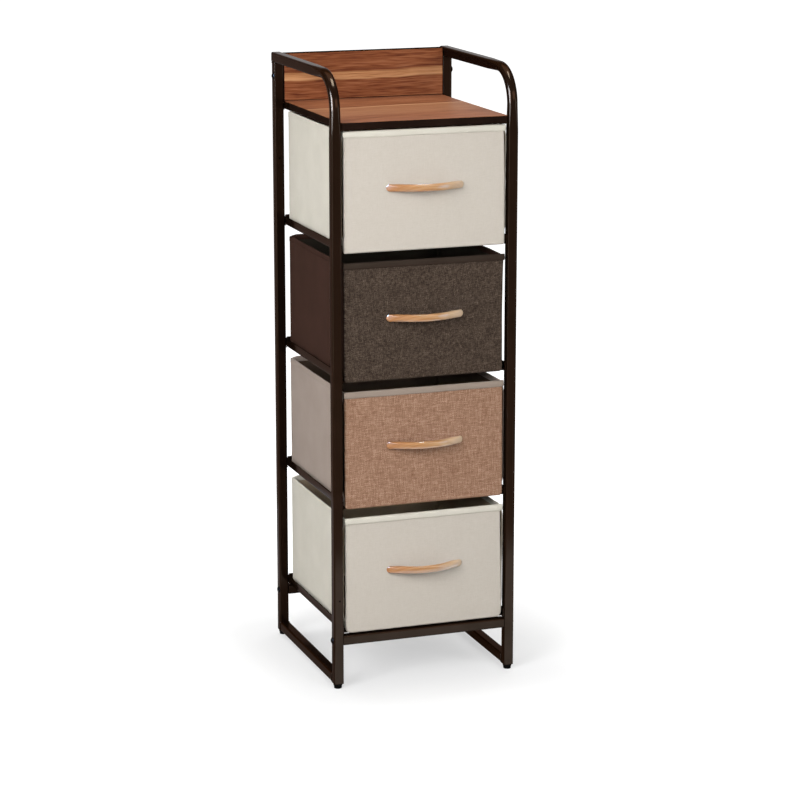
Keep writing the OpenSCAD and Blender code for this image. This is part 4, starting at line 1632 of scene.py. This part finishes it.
    def wall_shell(self, name: str, outer: np.ndarray, inner: np.ndarray, cloth: Finish,
                   nodes: tuple[str, ...]) -> None:
        """Close two sheets of points into one layer of cloth and place it."""
        shell = Shell()
        shell.grid(outer)
        shell.grid(inner)
        for edge in (0, -1):
            shell.grid(np.array([outer[edge], inner[edge]]))
            shell.grid(np.array([outer[:, edge], inner[:, edge]]))
        place(shell.mesh(f"{self.body}_{name}", SOFT_SHARP), cloth, self.body, nodes)

    def base(self) -> None:
        """Build the base board with softly rounded edges."""
        node = f"{self.body}_base_board"
        low, high = node_box(node)
        size, middle = high - low, (low + high) / 2
        size[:2] -= 0.8 * self.corner
        rings = []
        for height, inset in ((0.0, 1.0), (0.15, 0.45), (0.6, 0.1), (1.2, 0.0), (2.8, 0.0), (3.4, 0.1),
                              (3.85, 0.45), (4.0, 1.0)):
            outline = rounded_rect(size[0] - 2 * inset, size[1] - 2 * inset, 3.0, 4)
            rings.append(lay_out(outline, Facing.Z, (middle[0], middle[1]), low[2] + height))
        even_shading(dress(tube_shell(rings), FIBREBOARD, self.body, node))

    def binding(self) -> None:
        """Build the strip of cloth folded over the rim of the front."""
        node = f"{self.body}_rim_binding"
        low, high = node_box(node)
        half, tall, cloth = high[0], high[2] - low[2], 0.8
        middle = (self.face + self.back) / 2
        reach = self.thick / 2 + 1.0
        path = [(-reach + 0.35, -tall + 0.2), (-reach, -tall + 0.6), (-reach - 0.25, -tall * 0.75),
                (-reach - 0.3, -tall * 0.5)]
        for step in range(9):
            a = math.radians(180 - 180 * step / 8)
            path.append((reach * math.cos(a), -3.2 + 3.2 * math.sin(a)))
        path += [(reach - 0.05, -tall * 0.55), (reach - 0.15, -tall * 0.85), (reach - 0.3, -tall + 0.2)]
        path = np.array(path)
        steps = np.gradient(path, axis=0)
        normals = np.stack([-steps[:, 1], steps[:, 0]], axis=1)
        normals /= np.linalg.norm(normals, axis=1)[:, None]
        inner = path - normals * cloth
        xs = list(-half + np.array([0.0, 0.25, 0.8, 1.6, 2.6, 4.0, 5.6, 7.4, 9.4, 11.6, 14.0, 17.0]))
        xs += list(np.linspace(-half + 20, half - 20, 84)) + [-x for x in reversed(xs)]
        rows = []
        for x in xs:
            from_end = half - abs(x)
            gather = (self.left_gather if x < 0 else self.right_gather) * math.exp(-from_end / 7.0)
            squeeze = 0.35 * max(0.0, 1 - from_end / 3.0) ** 2
            section = []
            for index, (y, z) in enumerate(np.concatenate([path, inner[::-1]])):
                share = index / (2 * len(path))
                wave = 0.3 * self.noise(x, 30 * share, 22.0, 6) + 0.12 * self.noise(x, 30 * share, 5.0, 7, 2)
                fold = gather * math.sin(2.3 * z + 0.9 * from_end)
                y_place = middle + y * (1 - squeeze) + (0.25 * wave + fold) * (-1 if y < 0 else 0.3)
                droop = 0.45 * self.noise(x, 0.0, 42.0, 8) - 0.35
                z_place = self.rim + z * (1 - 0.3 * squeeze) + (droop if z < -6 else 0.35 * droop) - 0.15
                section.append((x, y_place, z_place))
            rows.append(section)
        strip = dress(tube_shell(rows), self.trim, self.body, node, SOFT_SHARP)

    def handle(self) -> None:
        """Build the arched wooden handle."""
        half, rise = self.handle_half, self.handle_rise
        inner_half, inner_rise = half - self.handle_foot, rise - self.handle_thick
        outer_r = (half ** 2 + rise ** 2) / (2 * rise)
        inner_r = (inner_half ** 2 + inner_rise ** 2) / (2 * inner_rise)
        squareness = 2 / 2.9
        edge = [0.0, 0.1, 0.4, 0.9, 1.6, 2.5, 3.6, 5.0, 7.0]
        xs = [-half + e for e in edge] + list(np.linspace(-half + 9, half - 9, 78))
        xs += [half - e for e in reversed(edge)]
        rings = []
        for x in xs:
            end = half - abs(x)
            outer = max(math.sqrt(outer_r ** 2 - x * x) - (outer_r - rise), 0.0) + 0.15
            inner = 0.0
            if abs(x) < inner_half:
                inner = max(0.0, math.sqrt(inner_r ** 2 - x * x) - (inner_r - inner_rise))
            tall = self.handle_h / 2
            if end < tall:
                tall *= math.sqrt(max(1 - (1 - end / tall) ** 2, 0.0)) * 0.98 + 0.02
            middle, depth = (outer + inner) / 2, (outer - inner) / 2
            ring = []
            for turn in even_turns(28):
                ca, sa = math.cos(turn), math.sin(turn)
                ring.append((x, self.face - middle - depth * math.copysign(abs(ca) ** squareness, ca),
                             self.handle_z + tall * math.copysign(abs(sa) ** squareness, sa)))
            rings.append(ring)
        dress(tube_shell(rings), BEECH, self.body, f"{self.body}_handle", SOFT_SHARP)

    def screws(self, copies: RepeatTree) -> None:
        """Put the two handle screws inside the front."""
        spots = [((x, self.back, self.handle_z), (0, 1, 0)) for x in (-self.screw_x, self.screw_x)]
        screw = pan_screw(self.screw_head, self.screw_rise)
        fasten(copies, screw, spots, ZINC, self.body, f"{self.body}_handle_screws")

    def seams(self, stitches: RepeatTree) -> None:
        """Sew the binding to the front and the hem along the walls."""
        front_y = (self.face + self.back) / 2 - (self.thick / 2 + 1.25)
        binding_seam = [(x, front_y, self.rim - 8.3) for x in np.linspace(-self.half + 3, self.half - 3, 40)]
        seam_z = node_box(f"{self.body}_fabric_walls")[1][2] - self.hem + 1.2
        hem_seam = []
        for x, y, nx, ny, _ in self.wall_path()[2:-2]:
            push = -0.15 if ny > 0.5 else 0.15
            hem_seam.append((x + nx * push, y + ny * push, seam_z))
        curve = curve_data("Seam lines", [binding_seam, hem_seam])
        mesh = stitches.run(f"{self.body}_stitches", curve, self.cloth.material(), SOFT_SHARP)
        place(mesh, self.cloth, self.body)


# Light, floor and camera


@dataclass
class Studio:
    """Pale floor, soft light and the camera of the picture."""

    eye: Spot = (-1.4418, -4.0703, 1.4532)
    yaw: float = 19.624
    pitch: float = -13.269
    lens: float = 121.39
    ambient: float = 0.27
    floor_half: float = 30.0
    # The next three values paint a shadow on the floor round the cabinet: the half size of its box, how far
    # out the floor reaches full brightness, and the dimmest brightness inside the box.
    shade_half: tuple[float, float] = (0.155, 0.16)
    clear_at: float = 0.42
    near_glow: float = 0.53
    floor_tone: float = 0.42

    def build(self) -> None:
        """Set up the whole studio."""
        self.world()
        self.floor()
        self.lamps()
        self.camera()
        bpy.context.scene.view_settings.view_transform = "Standard"

    def seen_directly(self, tree: Tree) -> Socket:
        """Say where a ray comes from the camera, a reflection or glass."""
        path = tree.add("ShaderNodeLightPath").outputs
        first = tree.math("MAXIMUM", path["Is Camera Ray"], path["Is Glossy Ray"])
        return tree.math("MAXIMUM", first, path["Is Transmission Ray"])

    def world(self) -> None:
        """Make the world white to the eye and softer as light."""
        world = bpy.data.worlds.new("Studio")
        bpy.context.scene.world = world
        world.use_nodes = True
        tree = Tree(world.node_tree)
        back = next(n for n in world.node_tree.nodes if n.type == "BACKGROUND")
        back.inputs["Color"].default_value = (1.0, 1.0, 1.0, 1.0)
        tree.join(tree.spread(self.seen_directly(tree), self.ambient, 1.0), back.inputs["Strength"])

    def floor(self) -> None:
        """Lay a pale floor that keeps the cabinet's shadow, with a painted shadow: its brightness to the eye
        is dimmed round the cabinet's footprint.
        """
        mesh = bpy.data.meshes.new("Floor")
        size = self.floor_half
        corners = [(-size, -size, 0), (size, -size, 0), (size, size, 0), (-size, size, 0)]
        mesh.from_pydata(corners, [], [(0, 1, 2, 3)])
        floor = bpy.data.objects.new("Floor", mesh)
        bpy.context.scene.collection.objects.link(floor)
        material, tree, shader = open_material("Pale floor")
        shader.inputs["Base Color"].default_value = (*(self.floor_tone,) * 3, 1.0)
        shader.inputs["Roughness"].default_value = 1.0
        shader.inputs["Specular IOR Level"].default_value = 0.0
        shader.inputs["Emission Color"].default_value = (1.0, 1.0, 1.0, 1.0)
        coords = tree.add("ShaderNodeTexCoord").outputs["Object"]
        apart = tree.add("ShaderNodeVectorMath", {0: coords}, operation="ABSOLUTE").outputs["Vector"]
        outside = tree.add("ShaderNodeVectorMath", {0: apart, 1: (*self.shade_half, 0.0)},
                           operation="SUBTRACT")
        clipped = tree.add("ShaderNodeVectorMath", {0: outside.outputs["Vector"], 1: (0.0, 0.0, 0.0)},
                           operation="MAXIMUM")
        gap = tree.add("ShaderNodeVectorMath", {0: clipped.outputs["Vector"]}, operation="LENGTH")
        # Painted shadow: the floor's emission is dimmest inside the box round the cabinet and rises to full
        # further out.
        glow_with_painted_shadow = tree.remap(gap.outputs["Value"], (0.0, self.clear_at), (self.near_glow, 1.0),
                          interpolation_type="SMOOTHSTEP")
        tree.join(tree.math("MULTIPLY", self.seen_directly(tree), glow_with_painted_shadow), shader.inputs["Emission Strength"])
        mesh.materials.append(material)

    def lamps(self) -> None:
        """Hang the soft lamps, and the gleams that give the steel its highlights."""
        self.lamp("Overhead softbox", (0.1, 0.5, 3.0), (0.0, 0.0, 0.4), (2.2, 1.6), 46.0)
        self.lamp("Left softbox", (-1.9, -1.5, 1.5), (-0.1, -0.1, 0.55), (1.3, 1.3), 57.0)
        self.lamp("Front softbox", (1.4, -3.3, 2.2), (0.0, 0.0, 0.5), (1.8, 1.4), 49.0)
        top_left, low_left = (-0.15, -0.14, 0.96), (-0.15, -0.14, 0.5)
        upward_blue = (0.41, 0.71, 1.0)
        self.gleam("Left gleam", (-2.1, -0.62, 1.4), top_left, (1.3, 1.2), 1400.0, (0.3, 0.58, 1.0))
        self.gleam("Low gleam", (-2.1, -0.8, 0.5), low_left, (1.9, 0.9), 27.0)
        self.gleam("Floor gleam", (0.15, -0.475, 0.008), (0.15, -0.475, 1.0), (0.8, 0.65), 11.5, upward_blue)
        self.gleam("Side gleam", (-0.42, 0.45, 0.015), (-0.42, 0.45, 1.0), (0.4, 0.9), 3.0, upward_blue)
        self.gleam("Top gleam", (0.5, -0.32, 3.0), top_left, (0.9, 0.5), 135.0)
        self.gleam("Right gleam", (1.6, -1.6, 0.75), (0.0, -0.15, 0.55), (0.8, 1.1), 32.0, (0.44, 0.74, 1.0))

    def gleam(self, name: str, spot: Spot, aim: Spot, size: tuple[float, float], watts: float,
              color: Color = (0.5, 0.8, 1.0)) -> None:
        """Hang one area lamp that only shows as a reflection in glossy surfaces."""
        self.lamp(name, spot, aim, size, watts)
        lamp = bpy.data.objects[name]
        lamp.data.color = color
        lamp.visible_diffuse = False
        lamp.visible_transmission = False
        lamp.visible_volume_scatter = False

    def lamp(self, name: str, spot: Spot, aim: Spot, size: tuple[float, float], watts: float) -> None:
        """Hang one area lamp.

        Args:
            name: Name of the lamp.
            spot: Where it hangs, in metres.
            aim: What it points at.
            size: Its width and height.
            watts: Its power.
        """
        data = bpy.data.lights.new(name, "AREA")
        data.shape = "RECTANGLE"
        data.size, data.size_y, data.energy = *size, watts
        lamp = bpy.data.objects.new(name, data)
        lamp.location = spot
        lamp.rotation_euler = (Vector(aim) - Vector(spot)).to_track_quat("-Z", "Y").to_euler()
        bpy.context.scene.collection.objects.link(lamp)

    def camera(self) -> None:
        """Stand the camera where the picture was taken from."""
        data = bpy.data.cameras.new("Camera")
        data.sensor_width = 36.0
        data.lens = self.lens
        camera = bpy.data.objects.new("Camera", data)
        bpy.context.scene.collection.objects.link(camera)
        yaw, pitch = math.radians(self.yaw), math.radians(self.pitch)
        forward = Vector((math.sin(yaw) * math.cos(pitch), math.cos(yaw) * math.cos(pitch), math.sin(pitch)))
        right = Vector((math.cos(yaw), -math.sin(yaw), 0.0))
        place_matrix = Matrix((right, right.cross(forward), -forward)).transposed().to_4x4()
        place_matrix.translation = Vector(self.eye)
        camera.matrix_world = place_matrix
        bpy.context.scene.camera = camera


def main() -> None:
    """Build the cabinet and the studio."""
    logging.basicConfig(level=logging.INFO, format="%(message)s")
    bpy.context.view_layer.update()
    Studio().build()
    steel = TubeFrame()
    steel.build()
    PrintedBoards().build()
    stitches = stitch_tree()
    drawers = (
        FabricDrawer(1, CREAM_WEAVE, CREAM, CREAM, CREAM_SHADED_LINING, corner=3.0,
                     left_pull=(-0.4, -0.4, -0.3, -0.4, -0.3), right_pull=(1.2, 0.0, -1.1, -1.3, -1.2),
                     right_gather=0.6, belly=4.8),
        FabricDrawer(2, DARK_WEAVE, BROWN, BROWN_TRIM, LINING, corner=6.0,
                     left_pull=(-0.4, -0.2, 0.1, 0.0, 0.4), right_pull=(0.0, 0.9, 1.5, 1.1, 0.8)),
        FabricDrawer(3, TAN_WEAVE, TAUPE, TAUPE_TRIM, TAUPE_SHADED_LINING, corner=5.5,
                     left_pull=(-0.4, -0.2, 0.0, 0.0, 0.2), right_pull=(0.0, -0.3, -0.6, -0.9, -0.9),
                     left_gather=0.8, belly=4.8),
        FabricDrawer(4, CREAM_WEAVE, CREAM, CREAM, CREAM_SHADED_LINING, corner=9.5,
                     left_pull=(-0.2, -0.2, 0.0, 0.0, 0.2), right_pull=(2.1, 1.4, 0.2, -1.2, -1.0),
                     right_gather=0.9, belly=4.2),
    )
    for drawer in drawers:
        drawer.build(stitches, steel.copies)


if __name__ == "__main__":
    main()
